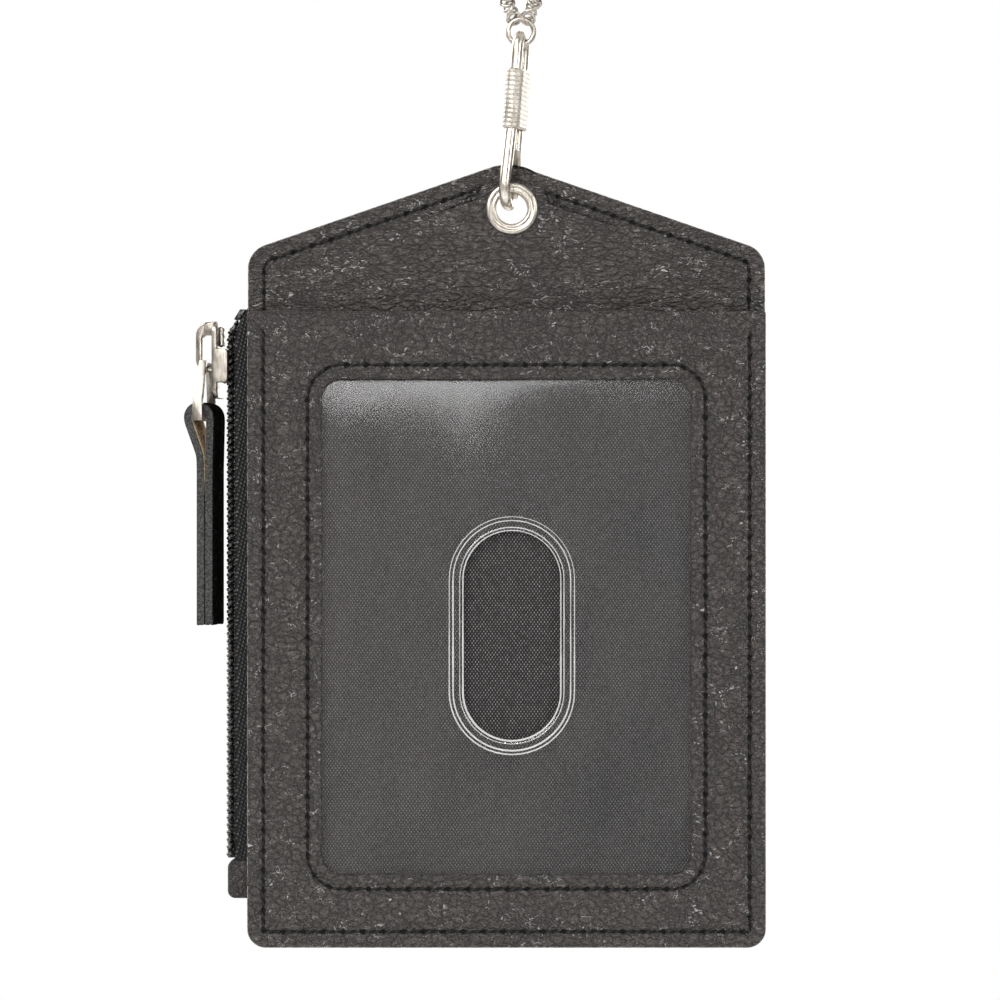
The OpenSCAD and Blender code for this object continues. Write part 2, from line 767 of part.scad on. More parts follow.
// Chain strands: round links at right angles to each other, from the jump ring to the hanging ring
seat_angle = 28;
first_step = link_r - link_wire / 2 - jump_wire / 2 - snug;
link_step = 2 * link_r - link_wire - snug;
end_r = link_r * 1.5;
last_step = link_r + end_r - link_wire - snug;
link_count = 2 * link_pairs;
strand_run = first_step + (link_count - 1) * link_step + last_step;
module strand(side) {
    seat = [ring_x + side * jump_r * sin(seat_angle), hook_y, jump_h + jump_r * cos(seat_angle)];
    color("#d8d3c8") translate(seat) rotate([0, side * strand_lean, 0]) {
        for (i = [0 : link_count - 1])
            translate([0, 0, first_step + i * link_step]) rotate([0, 0, i % 2 == 0 ? 90 : 0])
                wire_ring(link_r, link_wire);
        translate([0, 0, strand_run]) rotate([0, 0, 90]) wire_ring(end_r, link_wire);
    }
}
module chain_left() { strand(-1); }
module chain_right() { strand(1); }

// Hanging ring: a flat ring with a lug plate below it, drilled for the two end links
drill_d = 0.9;
lug_wall = 0.6;
lug_r = drill_d / 2 + lug_wall;
drill_run = strand_run + end_r;
drill_x = jump_r * sin(seat_angle) + drill_run * sin(strand_lean);
drill_h = jump_h + jump_r * cos(seat_angle) + drill_run * cos(strand_lean);
ring_h = drill_h + hang_r + hang_band + lug_r;
module hang_ring() {
    color("#ddd7ca") translate([ring_x, 0, 0]) upright(hook_y - hang_t / 2, hang_t) difference() {
        union() {
            translate([0, ring_h]) circle(r = hang_r + hang_band);
            for (side = [-1, 1]) translate([side * drill_x, drill_h]) circle(r = lug_r);
            polygon([[-drill_x, drill_h - lug_r], [drill_x, drill_h - lug_r], [drill_x + lug_r, drill_h],
                [hang_r + hang_band * 0.7, ring_h - hang_band],
                [-hang_r - hang_band * 0.7, ring_h - hang_band],
                [-drill_x - lug_r, drill_h]]);
        }
        translate([0, ring_h]) circle(r = hang_r);
        for (side = [-1, 1]) translate([side * drill_x, drill_h]) circle(d = drill_d);
    }
}

// Moves the part from the body's frame to the hanging ring's frame
module hung() { translate([-ring_x, -hook_y, -ring_h]) children(); }

hung() front_panel();
hung() window_sheet();
hung() slot_rim();
hung() pocket_lining();
hung() header_panel();
hung() divider_panel();
hung() gusset();
hung() rear_panel();
hung() card_leaf_upper();
hung() card_leaf_middle();
hung() card_leaf_lower();
hung() body_stitches();
hung() window_stitches();
hung() rear_stitches();
hung() eyelet_front();
hung() eyelet_back();
hung() zip_tape_front();
hung() zip_tape_rear();
hung() zip_coil_front();
hung() zip_coil_rear();
hung() zip_top_stops();
hung() zip_bottom_stop();
hung() zip_end_tab();
hung() slider_body();
hung() slider_bail();
hung() pull_link();
hung() pull_tab();
hung() hook_wire();
hung() hook_sleeve();
hung() gate_pin();
hung() gate_spring();
hung() jump_ring();
hung() chain_left();
hung() chain_right();
hung() hang_ring();
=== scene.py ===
"""Hanging id badge wallet: leather body, clear window, side zip, hook and chain.

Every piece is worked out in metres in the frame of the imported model: +Z up, the window
faces -Y and the origin is the centre of the hanging ring's hole.
"""
import json
import math
from functools import cache

import bpy
import bmesh
import numpy as np
from bpy.props import FloatProperty, FloatVectorProperty, IntProperty, PointerProperty
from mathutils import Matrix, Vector

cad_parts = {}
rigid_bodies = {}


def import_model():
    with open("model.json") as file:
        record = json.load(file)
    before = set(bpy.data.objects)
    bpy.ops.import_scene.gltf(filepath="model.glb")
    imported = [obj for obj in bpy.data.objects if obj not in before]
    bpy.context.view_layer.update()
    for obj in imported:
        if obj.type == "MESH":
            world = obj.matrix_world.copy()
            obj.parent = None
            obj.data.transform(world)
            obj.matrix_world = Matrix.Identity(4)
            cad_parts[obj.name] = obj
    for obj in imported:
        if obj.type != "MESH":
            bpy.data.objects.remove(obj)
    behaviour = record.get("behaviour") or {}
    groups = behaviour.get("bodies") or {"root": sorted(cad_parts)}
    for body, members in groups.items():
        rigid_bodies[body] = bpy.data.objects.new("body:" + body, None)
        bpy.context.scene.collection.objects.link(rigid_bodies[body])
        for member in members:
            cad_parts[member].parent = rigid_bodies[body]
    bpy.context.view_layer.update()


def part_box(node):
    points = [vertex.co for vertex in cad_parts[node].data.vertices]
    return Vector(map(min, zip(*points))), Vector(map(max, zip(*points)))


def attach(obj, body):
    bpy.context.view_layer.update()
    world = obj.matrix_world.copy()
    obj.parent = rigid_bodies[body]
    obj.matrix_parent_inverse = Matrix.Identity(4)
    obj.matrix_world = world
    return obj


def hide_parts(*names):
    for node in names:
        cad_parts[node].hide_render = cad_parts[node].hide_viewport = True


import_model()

bl_info = {
    "name": "Id badge wallet",
    "version": (1, 0, 0),
    "blender": (4, 5, 0),
    "location": "View3D > Sidebar > Wallet",
    "description": "Builds the leather, clear sheet, zip and metal pieces of a hanging id badge wallet",
    "category": "Add Mesh",
}

MM = 0.001
PANEL_LOW, PANEL_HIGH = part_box("front_panel")
HEADER_LOW, HEADER_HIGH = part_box("header_panel")
MIDDLE_X = float(PANEL_LOW[0] + PANEL_HIGH[0]) / 2
FOOT_Z = float(PANEL_LOW[2])
MOUTH_Z = float(PANEL_HIGH[2])
HALF_W = float(PANEL_HIGH[0] - PANEL_LOW[0]) / 2
PEAK = float(HEADER_HIGH[2]) - FOOT_Z


def metric(name, text, mm):
    """A length that a user sets, given here in mm."""
    return FloatProperty(name=name, description=text, default=mm * MM, unit="LENGTH")


def swatch(name, text, color):
    """A colour that a user sets."""
    return FloatVectorProperty(name=name, description=text, default=color, subtype="COLOR", size=3, min=0, max=1)


class WalletSettings(bpy.types.PropertyGroup):
    """Sizes and colours of the wallet that a user would change."""

    slope: FloatProperty(
        name="Top slope", description="Slope of the two top edges", default=math.radians(19), subtype="ANGLE")
    apex_r: metric("Peak radius", "Radius of the rounded peak", 7.3)
    shoulder_r: metric("Shoulder radius", "Radius of the shoulders", 3.7)
    foot_r: metric("Bottom radius", "Radius of the bottom corners", 2.8)
    window_w: metric("Window width", "Width of the window", 54.7)
    window_h: metric("Window height", "Height of the window", 73.4)
    window_low: metric("Window foot", "Leather below the window", 10.8)
    window_r: metric("Window radius", "Corner radius of the window", 3)
    stitch_pitch: metric("Stitch pitch", "Distance between stitches", 2.95)
    edge_inset: metric("Stitch inset", "Distance of the stitches from the edge", 2.4)
    window_inset: metric("Window stitch inset", "Distance of the stitches from the window", 2.1)
    thread_d: metric("Thread", "Thickness of the sewing thread", 0.42)
    coil_turns: IntProperty(
        name="Coil turns", description="Turns of the nylon coil on one tape", default=72, min=20, max=120)
    leather_color: swatch("Leather", "Colour of the leather", (0.060, 0.053, 0.050))
    # This colour paints the highlights beside the leather's creases, and lightens the cut edge as a painted edge
    # highlight.
    glint_color: swatch("Leather flecks", "Colour of the painted glints beside the creases", (0.30, 0.29, 0.28))
    flesh_color: swatch("Flesh side", "Colour of the raw inside of the pull tab", (0.58, 0.46, 0.30))
    nickel_color: swatch("Nickel", "Colour of the plated metal", (0.78, 0.73, 0.65))
    weave_color: swatch("Weave", "Colour of the lining and the tape", (0.0105, 0.0100, 0.0100))


def settings():
    return bpy.context.scene.wallet_settings


def body_point(x, y, h):
    """Places given from the middle of the body and its bottom edge, in the frame."""
    return np.stack(np.broadcast_arrays(MIDDLE_X + x, y, FOOT_Z + h), axis=-1)


def box(node):
    """Lowest and highest corner of a solid, as arrays."""
    return [np.array(corner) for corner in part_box(node)]


# Meshes

def add_mesh(name, verts, quads, material, uv=None):
    """A mesh object from a list of points and quads, with one material and an optional UV per point."""
    mesh = bpy.data.meshes.new(name)
    quads = np.asarray(quads, dtype=np.int32)
    mesh.vertices.add(len(verts))
    mesh.vertices.foreach_set("co", np.asarray(verts, dtype=np.float32).ravel())
    mesh.loops.add(quads.size)
    mesh.loops.foreach_set("vertex_index", quads.ravel())
    mesh.polygons.add(len(quads))
    mesh.polygons.foreach_set("loop_start", np.arange(0, quads.size, quads.shape[1], dtype=np.int32))
    mesh.update(calc_edges=True)
    if uv is not None:
        layer = mesh.uv_layers.new(name="UVMap")
        layer.data.foreach_set("uv", np.asarray(uv, dtype=np.float32)[quads.ravel()].ravel())
    work = bmesh.new()
    work.from_mesh(mesh)
    bmesh.ops.remove_doubles(work, verts=work.verts, dist=1e-7)
    bmesh.ops.recalc_face_normals(work, faces=work.faces)
    work.to_mesh(mesh)
    work.free()
    mesh.polygons.foreach_set("use_smooth", np.ones(len(mesh.polygons), dtype=bool))
    obj = bpy.data.objects.new(name, mesh)
    bpy.context.scene.collection.objects.link(obj)
    mesh.materials.append(material)
    return obj


def grid_quads(rows, columns, wrap_rows=False):
    """Quads of a grid of rows by columns whose columns close round, and its rows too if asked."""
    r = np.arange(rows if wrap_rows else rows - 1)
    r, c = np.meshgrid(r, np.arange(columns), indexing="ij")
    r2, c2 = (r + 1) % rows, (c + 1) % columns
    corners = [r * columns + c, r * columns + c2, r2 * columns + c2, r2 * columns + c]
    return np.stack(corners, axis=-1).reshape(-1, 4)


def grid_piece(name, points, material, wrap_rows=False, uv=None):
    """A surface of rows by columns of points; uv has the same grid."""
    flat_uv = None if uv is None else uv.reshape(-1, 2)
    return add_mesh(name, points.reshape(-1, 3), grid_quads(*points.shape[:2], wrap_rows), material, flat_uv)


def running_length(points):
    """Length along a line at each of its points."""
    return np.concatenate([[0], np.cumsum(np.linalg.norm(np.diff(points, axis=0), axis=1))])


def closed_up(points):
    """A loop of points with its first point again at its end."""
    return np.concatenate([points, points[:1]])


def tangents(path, closed=False):
    """Unit directions of a path, from the points before and after each point."""
    if closed:
        tangent = np.roll(path, -1, axis=0) - np.roll(path, 1, axis=0)
    else:
        tangent = np.gradient(path, axis=0)
    return tangent / np.linalg.norm(tangent, axis=1, keepdims=True)


def sweep(path, profile, side, closed=False, scale=None):
    """Carries a profile along a path: each point is path + side * profile x + (tangent x side) * profile y.

    side is one direction, or one for each point of the path; scale thins the profile along the way.
    """
    tangent = tangents(path, closed)
    side = np.broadcast_to(side, path.shape)
    side = side - tangent * np.sum(side * tangent, axis=1, keepdims=True)
    side /= np.linalg.norm(side, axis=1, keepdims=True)
    up = np.cross(tangent, side)
    size = np.ones(len(path)) if scale is None else scale
    px, py = (profile * size[:, None, None]).transpose(2, 0, 1)[..., None]
    return path[:, None] + side[:, None] * px + up[:, None] * py


def circle_profile(radius, sides):
    """Points of a circle about the middle of a profile."""
    angle = np.linspace(0, 2 * np.pi, sides, endpoint=False)
    return radius * np.stack([np.cos(angle), np.sin(angle)], axis=1)


def rounded_wire(path, radius):
    """Adds quarter-round ends to a wire: the ends run on by the cosine and thin by the sine."""
    tangent = tangents(path)
    turn = np.linspace(0, np.pi / 2, 5, endpoint=False)
    head = path[0] - tangent[0] * radius * np.cos(turn)[:, None]
    tail = path[-1] + tangent[-1] * radius * np.cos(turn[::-1])[:, None]
    scale = np.concatenate([np.sin(turn) + 0.02, np.ones(len(path)), np.sin(turn[::-1]) + 0.02])
    return np.concatenate([head, path, tail]), scale


def capped(points):
    """Adds a row at each end of a tube, with all its points at the middle of that end."""
    ends = [np.broadcast_to(points[i].mean(axis=0), (1,) + points.shape[1:]) for i in (0, -1)]
    return np.concatenate([ends[0], points, ends[1]])


def capped_grid(name, points, material, uv=None):
    """A tube of rows by columns whose first and last rows are closed by a middle point."""
    if uv is not None:
        uv = np.concatenate([uv[:1], uv, uv[-1:]])
    return grid_piece(name, capped(points), material, uv=uv)


def finish_piece(obj, body, slot, *nodes):
    """Puts a piece on its body and hides the solids it stands for; slot is not used."""
    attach(obj, body)
    if nodes:
        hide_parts(*nodes)
    return obj


# Outlines: each corner is x, height, radius and the first and last direction of its normal

CORNER_STEPS = 12


def body_corners():
    """The body's outline: two bottom corners, two shoulders and the peak between its sloping edges."""
    s = settings()
    shoulder = PEAK + s.apex_r * (1 / math.cos(s.slope) - 1) - HALF_W * math.tan(s.slope)
    drop = s.shoulder_r * math.tan(math.pi / 4 - s.slope / 2)
    up = math.pi / 2
    return [
        (-HALF_W + s.foot_r, s.foot_r, s.foot_r, math.pi, 1.5 * math.pi),
        (HALF_W - s.foot_r, s.foot_r, s.foot_r, 1.5 * math.pi, 2 * math.pi),
        (HALF_W - s.shoulder_r, shoulder - drop, s.shoulder_r, 0, up - s.slope),
        (0, PEAK - s.apex_r, s.apex_r, up - s.slope, up + s.slope),
        (-HALF_W + s.shoulder_r, shoulder - drop, s.shoulder_r, up + s.slope, math.pi),
    ]


def box_corners(x0, h0, x1, h1, radii):
    """A rectangle with its own radius at each corner, from low left to high left."""
    low_left, low_right, high_right, high_left = radii
    pi = math.pi
    return [
        (x0 + low_left, h0 + low_left, low_left, pi, 1.5 * pi),
        (x1 - low_right, h0 + low_right, low_right, 1.5 * pi, 2 * pi),
        (x1 - high_right, h1 - high_right, high_right, 0, pi / 2),
        (x0 + high_left, h1 - high_left, high_left, pi / 2, pi),
    ]


def outline(corners, side=60):
    """Points and outward normals round an outline: equal steps on each corner, side steps on each edge."""
    points, normals = [], []
    for i, (x, h, r, first, last) in enumerate(corners):
        angle = np.linspace(first, last, CORNER_STEPS + 1)
        normal = np.stack([np.cos(angle), np.sin(angle)], axis=1)
        points.append(np.array([x, h]) + r * normal)
        normals.append(normal)
        next_x, next_h, next_r, turn, _ = corners[(i + 1) % len(corners)]
        start = points[-1][-1]
        end = np.array([next_x + next_r * math.cos(turn), next_h + next_r * math.sin(turn)])
        share = np.linspace(0, 1, side + 1)[1:-1, None]
        points.append(start + (end - start) * share)
        normals.append(np.broadcast_to(normal[-1], (side - 1, 2)))
    return np.concatenate(points), np.concatenate(normals)


def inset_corners(corners, inset):
    """Corners of the outline drawn in by an inset, or out by a negative one.

    A corner whose radius is used up becomes a sharp one: its centre moves by (r - inset) / cos(half its
    turn) along its middle direction.
    """
    made = []
    tiny = 1e-5
    for x, h, r, a0, a1 in corners:
        if r - inset > tiny:
            made.append((x, h, r - inset, a0, a1))
        else:
            middle, shift = (a0 + a1) / 2, (r - inset - tiny) / math.cos((a1 - a0) / 2)
            made.append((x + shift * math.cos(middle), h + shift * math.sin(middle), tiny, a0, a1))
    return made


def even_places(corners, inset):
    """Middle, start and end of evenly spaced stitches along the inset outline."""
    pitch = settings().stitch_pitch
    loop = closed_up(outline(inset_corners(corners, inset), 200)[0])
    run = running_length(loop)
    count = int(round(run[-1] / pitch))
    middle = (np.arange(count) + 0.5) * run[-1] / count
    reach = pitch * 0.36
    return [np.stack([np.interp(at, run, loop[:, i]) for i in (0, 1)], axis=1)
            for at in (middle, (middle - reach) % run[-1], (middle + reach) % run[-1])]


# Shader effects that several finishes share

def new_group(name, inputs, outputs):
    """A shader node group, its tree, the sockets it is given and those of its result.

    Labels with Color are colours, Vector is a vector and the others are numbers.
    """
    group = bpy.data.node_groups.new(name, "ShaderNodeTree")
    for labels, way in ((inputs, "INPUT"), (outputs, "OUTPUT")):
        for label in labels:
            kind = "Color" if "Color" in label else "Vector" if label == "Vector" else "Float"
            group.interface.new_socket(label, in_out=way, socket_type="NodeSocket" + kind)
    given, result = group.nodes.new("NodeGroupInput").outputs, group.nodes.new("NodeGroupOutput").inputs
    return group, Tree(group), given, result


class Tree:
    """Short calls for building a node tree."""

    def __init__(self, tree, material=None):
        self.tree = tree
        self.material = material
        self.shader = None

    def node(self, kind, values=None, **options):
        made = self.tree.nodes.new("ShaderNode" + kind)
        for key, value in options.items():
            setattr(made, key, value)
        for key, value in (values or {}).items():
            self.put(made.inputs[key], value)
        return made

    def put(self, socket, value):
        if isinstance(value, bpy.types.NodeSocket):
            self.tree.links.new(value, socket)
        else:
            socket.default_value = value

    def math(self, operation, a, b=0.0, c=0.0, clamp=False):
        return self.node("Math", {0: a, 1: b, 2: c}, operation=operation, use_clamp=clamp).outputs[0]

    def times(self, a, b):
        return self.math("MULTIPLY", a, b)

    def times_add(self, a, b, c):
        return self.math("MULTIPLY_ADD", a, b, c)

    def scaled(self, vector, scale):
        return self.node("VectorMath", {0: vector, "Scale": scale}, operation="SCALE").outputs[0]

    def split(self, vector):
        return self.node("SeparateXYZ", {0: vector}).outputs

    def uv(self):
        return self.split(self.node("UVMap").outputs[0])

    def mapped(self, vector, scale=(1.0, 1.0, 1.0), rotation=(0.0, 0.0, 0.0)):
        return self.node("Mapping", {"Vector": vector, "Scale": scale, "Rotation": rotation}).outputs[0]

    def spread(self, value, low, high, out_low=0.0, out_high=1.0):
        """Maps low..high onto out_low..out_high, softly and clamped."""
        values = {"Value": value, "From Min": low, "From Max": high, "To Min": out_low, "To Max": out_high}
        return self.node("MapRange", values, interpolation_type="SMOOTHSTEP").outputs[0]

    def mix(self, share, a, b):
        return self.node("Mix", {0: share, 6: a, 7: b}, data_type="RGBA").outputs[2]

    def noise(self, vector, scale, detail=3.0, rough=0.55):
        values = {"Vector": vector, "Scale": scale, "Detail": detail, "Roughness": rough}
        return self.node("TexNoise", values).outputs["Fac"]


@cache
def pebble_group():
    """Tumbled leather grain.

    A noise bends the places. Height is the rounded top of cells (distance from the edge, softly from 0 to
    0.24) where a broad noise lets them stand, plus 0.4 of cells 2.6 times finer and 0.3 of a grit noise.
    Glints, painted highlights where the pebble sides catch the light, lie in a thin band beside the creases,
    where two more noises both let them show. The colour is darker in the creases, which is painted shade,
    and speckled by the grit.
    """
    group, t, given, result = new_group(
        "Pebble grain", ["Vector", "Scale", "Warp", "Fleck", "Color", "Fleck Color"],
        ["Color", "Roughness", "Height"])
    vector, scale = given["Vector"], given["Scale"]
    bend = t.node("TexNoise", {"Vector": vector, "Scale": t.times(scale, 0.45), "Detail": 2.0})
    shift = t.node("VectorMath", {0: bend.outputs["Color"], 1: (0.5, 0.5, 0.5)}, operation="SUBTRACT").outputs[0]
    shift = t.scaled(shift, t.math("DIVIDE", given["Warp"], scale))
    bent = t.node("VectorMath", {0: vector, 1: shift}, operation="ADD").outputs[0]

    def cells(share):
        values = {"Vector": bent, "Scale": t.times(scale, share)}
        return t.node("TexVoronoi", values, feature="DISTANCE_TO_EDGE").outputs["Distance"]

    edge = cells(1.0)
    broad = t.noise(vector, t.times(scale, 0.16), 2.0)
    presence = t.spread(broad, 0.36, 0.62, 0.30, 1.0)
    coarse = t.spread(edge, 0.0, 0.24)
    fine = t.spread(cells(2.6), 0.0, 0.22)
    height = t.times_add(fine, 0.40, t.times(coarse, presence))
    grit = t.noise(vector, t.times(scale, 5.0), 3.0)
    # Glints: painted highlights in a thin band beside the creases, gated by two noises.
    rim = t.times(t.spread(edge, 0.03, 0.07), t.spread(edge, 0.17, 0.09))
    gate = t.spread(t.noise(bent, t.times(scale, 2.1), 2.0), 0.53, 0.61)
    cluster = t.spread(t.noise(vector, t.times(scale, 0.42), 2.0), 0.46, 0.62)
    glint = t.times(t.times(rim, gate), cluster)
    glint = t.math("MULTIPLY", glint, given["Fleck"], clamp=True)
    # Painted shade: the colour is darker where the grain is low, in the creases; the grit speckle is the leather's
    # own.
    shade = t.times(t.spread(height, 0.0, 0.8, 0.42, 1.12), t.spread(grit, 0.3, 0.7, 0.60, 1.40))
    dull = t.scaled(given["Color"], t.times(shade, t.spread(broad, 0.3, 0.7, 0.92, 1.08)))
    t.put(result["Color"], t.mix(glint, dull, given["Fleck Color"]))
    t.put(result["Roughness"], t.spread(height, 0.1, 1.2, 0.60, 0.34))
    t.put(result["Height"], t.times_add(grit, 0.30, height))
    return group


@cache
def weave_group():
    """Plain weave seen as staggered dots, whose tops are drawn lighter than the hollows: a painted highlight.

    Height is 0.5 plus half the product of a cosine across and a cosine up, so tops and hollows alternate
    like a chequer; a noise frays both angles and dulls some tops.
    """
    group, t, given, result = new_group(
        "Plain weave", ["Vector", "Across", "Up", "Color", "Top Color"], ["Color", "Height", "Tops"])
    x, _, z = t.split(given["Vector"])
    fray = t.noise(given["Vector"], 900.0, 2.0)
    across = t.times_add(x, t.math("DIVIDE", 2 * math.pi, given["Across"]), t.times(fray, 0.8))
    up = t.times_add(z, t.math("DIVIDE", 2 * math.pi, given["Up"]), fray)
    wave = t.times(t.math("COSINE", across), t.math("COSINE", up))
    height = t.times_add(wave, 0.5, 0.5)
    tops = t.spread(height, 0.58, 0.92)
    uneven = t.spread(t.noise(given["Vector"], 1500.0, 2.0), 0.25, 0.75, 0.35, 1.0)
    tops = t.times(tops, uneven)
    # The lighter thread tops are a painted highlight; the hollows keep the base colour.
    t.put(result["Color"], t.mix(tops, given["Color"], given["Top Color"]))
    t.put(result["Height"], height)
    t.put(result["Tops"], tops)
    return group


@cache
def plating_group():
    """Rubbed plating: a broad stain darkens the colour, and fine stretched noise makes hairlines."""
    group, t, given, result = new_group(
        "Rubbed plating", ["Vector", "Color", "Roughness"], ["Color", "Roughness", "Height"])
    stain = t.noise(given["Vector"], 420.0, 3.0)
    hair = t.noise(t.mapped(given["Vector"], (3800.0, 3800.0, 500.0)), 1.0, 2.0)
    dim = t.times(t.spread(stain, 0.34, 0.60, 0.72, 1.04), t.spread(hair, 0.34, 0.56, 0.72, 1.04))
    t.put(result["Color"], t.scaled(given["Color"], dim))
    t.put(result["Roughness"], t.times_add(stain, 0.16, t.times_add(hair, 0.10, given["Roughness"])))
    t.put(result["Height"], t.times_add(hair, 0.4, stain))
    return group


def new_material(name, **constants):
    """The tree of a new material and its Object coordinates; constants are the shader's own values."""
    made = bpy.data.materials.new(name)
    made.use_nodes = True
    made.node_tree.nodes.clear()
    t = Tree(made.node_tree, made)
    t.shader = t.node("BsdfPrincipled")
    t.node("OutputMaterial", {"Surface": t.shader.outputs[0]})
    for key, value in constants.items():
        t.shader.inputs[key.replace("_", " ")].default_value = value
    return t, t.node("TexCoord").outputs["Object"]


def finish_material(t, height=None, relief=0.0, strength=1.0, **links):
    """Links sockets to the shader, and a height to its bump; gives back the material."""
    for key, value in links.items():
        t.put(t.shader.inputs[key.replace("_", " ")], value)
    if height is not None:
        bump = t.node("Bump", {"Height": height, "Distance": relief, "Strength": strength})
        t.put(t.shader.inputs["Normal"], bump.outputs[0])
    return t.material


def use_group(t, group, **values):
    """Puts a node group in a material and gives back its results."""
    made = t.node("Group")
    made.node_tree = group
    for key, value in values.items():
        t.put(made.inputs[key.replace("_", " ")], value)
    return made.outputs


def rgba(color, factor=1.0):
    """A setting's colour, made darker or lighter by a factor."""
    return (*(min(1.0, c * factor) for c in color), 1.0)


def grey(level):
    return (level, level, level, 1)


# Cells in a metre, bend, strength of the glints (painted highlights), stretch of the places, shade of the colour and
# depth of the relief
LEATHERS = {
    "front": (820.0, 1.1, 1.0, (0.85, 1.0, 1.15), 1.0, 0.56 * MM),
    "header": (800.0, 1.4, 1.0, (0.66, 1.0, 1.35), 1.04, 0.52 * MM),
    "back": (900.0, 1.1, 0.6, (1.0, 1.0, 1.0), 0.85, 0.30 * MM),
    "trim": (1100.0, 1.2, 0.25, (1.0, 1.0, 1.0), 0.7, 0.22 * MM),
}
# Roughness, shade of the colour and strength of the relief; the cast kind's low shade is painted shade, a darker copy
# of the same nickel plating
NICKELS = {
    "polished": (0.17, 0.95, 0.5), "satin": (0.38, 0.80, 0.15), "chain": (0.18, 0.66, 0.5),
    "cast": (0.22, 0.50, 0.5), "spotted": (0.20, 0.72, 0.5),
}
# Threads' spacing across and up, how much lighter their tops are drawn as a painted highlight, and depth of the relief
CLOTHS = {"lining": (0.50 * MM, 0.70 * MM, 22.0, 0.14 * MM), "tape": (0.62 * MM, 0.95 * MM, 13.0, 0.40 * MM)}


@cache
def leather(kind):
    """Pebbled leather: front is round-grained, header has longer wrinkles, back and trim are plainer.

    The UV's first value mixes in the lighter raw cut edge by a noise, partly the edge's own colour and partly a
    painted highlight where the rolled edge catches the light, and its second paints the needle holes and the
    stitch groove near black as painted shade, whose rim another noise frays.
    """
    scale, warp, glint, stretch, shade, relief = LEATHERS[kind]
    s = settings()
    t, place = new_material("leather " + kind, Specular_IOR_Level=0.45)
    grain = use_group(t, pebble_group(), Vector=t.mapped(place, stretch), Scale=scale, Warp=warp, Fleck=glint,
                      Color=rgba(s.leather_color, shade), Fleck_Color=rgba(s.glint_color, 1.35))
    edge_highlight_mask, shade_mask = t.uv()[:2]
    # Lighter cut edge: partly the edge's own colour, partly a painted highlight where the rolled edge catches the
    # light.
    raw = t.spread(t.noise(place, 1500.0, 3.0), 0.35, 0.62)
    raw = t.times(t.spread(edge_highlight_mask, 0.3, 0.9), raw)
    color = t.mix(raw, grain["Color"], rgba(s.glint_color, 0.9))
    # Painted shade: the needle holes and the stitch groove are drawn near black.
    frayed = t.times_add(t.noise(place, 2400.0, 3.0), 1.1, t.math("SUBTRACT", shade_mask, 0.50))
    hole_shade = t.spread(frayed, 0.30, 0.55)
    return finish_material(t, grain["Height"], relief, Base_Color=t.mix(hole_shade, color, grey(0.002)),
                           Roughness=t.times_add(hole_shade, 0.4, grain["Roughness"]))


@cache
def nickel(kind):
    """Warm nickel plate, rubbed as the plating group says; each kind's shade scales its colour, and the cast kind's
    darker colour is painted shade.
    """
    rough, shade, relief = NICKELS[kind]
    t, place = new_material("nickel " + kind, Metallic=1.0)
    plate = use_group(t, plating_group(), Vector=place, Color=rgba(settings().nickel_color, shade), Roughness=rough)
    return finish_material(t, plate["Height"], 0.02 * MM, relief, Base_Color=plate["Color"],
                           Roughness=plate["Roughness"])


@cache
def thread():
    """Bonded black thread: the UV runs along the stitch, and a sine of both its values makes slanted plies."""
    t, place = new_material("thread", Roughness=0.6, Specular_IOR_Level=0.15)
    along, around = t.uv()[:2]
    ply = t.math("SINE", t.math("ADD", t.times(along, 14.0), t.times(around, 6.2832)))
    # Painted highlight: the ply ridges are drawn lighter than the hollows of the black thread.
    color = t.mix(t.spread(ply, -0.6, 1.0), grey(0.004), (0.022, 0.021, 0.021, 1))
    return finish_material(t, t.times_add(t.noise(place, 9000.0, 2.0), 0.5, ply), 0.05 * MM, Base_Color=color)


@cache
def woven(kind):
    """Black cloth: the lining's plain weave, or the zip tape's coarser one, tilted and wrapped round its bend."""
    across, up, top, depth = CLOTHS[kind]
    base = settings().weave_color
    t, place = new_material("cloth " + kind, Sheen_Weight=0.05, Specular_IOR_Level=0.25)
    if kind == "tape":
        x, y, z = t.split(t.mapped(place, rotation=(0.0, 0.35, 0.0)))
        place = t.node("CombineXYZ", {0: t.math("ADD", x, y), 2: z}).outputs[0]
    # The weave's top colour is a painted highlight on the thread tops.
    cloth = use_group(t, weave_group(), Vector=place, Across=across, Up=up, Color=rgba(base),
                      Top_Color=rgba(base, top))
    return finish_material(t, cloth["Height"], depth, Base_Color=cloth["Color"],
                           Roughness=t.spread(cloth["Tops"], 0.0, 1.0, 0.75, 0.42))


@cache
def clear_sheet():
    """Clear vinyl: it passes light unbent, under a coat that a stretched noise scuffs."""
    t, place = new_material(
        "clear sheet", Base_Color=(0.93, 0.94, 0.95, 1), Transmission_Weight=1.0, IOR=1.45, Roughness=0.0,
        Specular_IOR_Level=0.0, Coat_IOR=1.5, Coat_Roughness=0.2)
    scuff = t.noise(t.mapped(place, (300.0, 300.0, 60.0), (0.0, 0.9, 0.0)), 1.0, 4.0)
    return finish_material(t, t.noise(place, 12000.0, 2.0), 0.0035 * MM,
                           Coat_Weight=t.spread(scuff, 0.35, 0.75, 0.08, 0.22))


@cache
def clear_rim():
    """Clear welded vinyl, milkier than the sheet, with an uneven shine."""
    t, place = new_material(
        "clear rim", Base_Color=(0.88, 0.87, 0.86, 1), Transmission_Weight=0.55, IOR=1.45)
    return finish_material(t, Roughness=t.spread(t.noise(place, 500.0, 3.0), 0.3, 0.7, 0.08, 0.22))


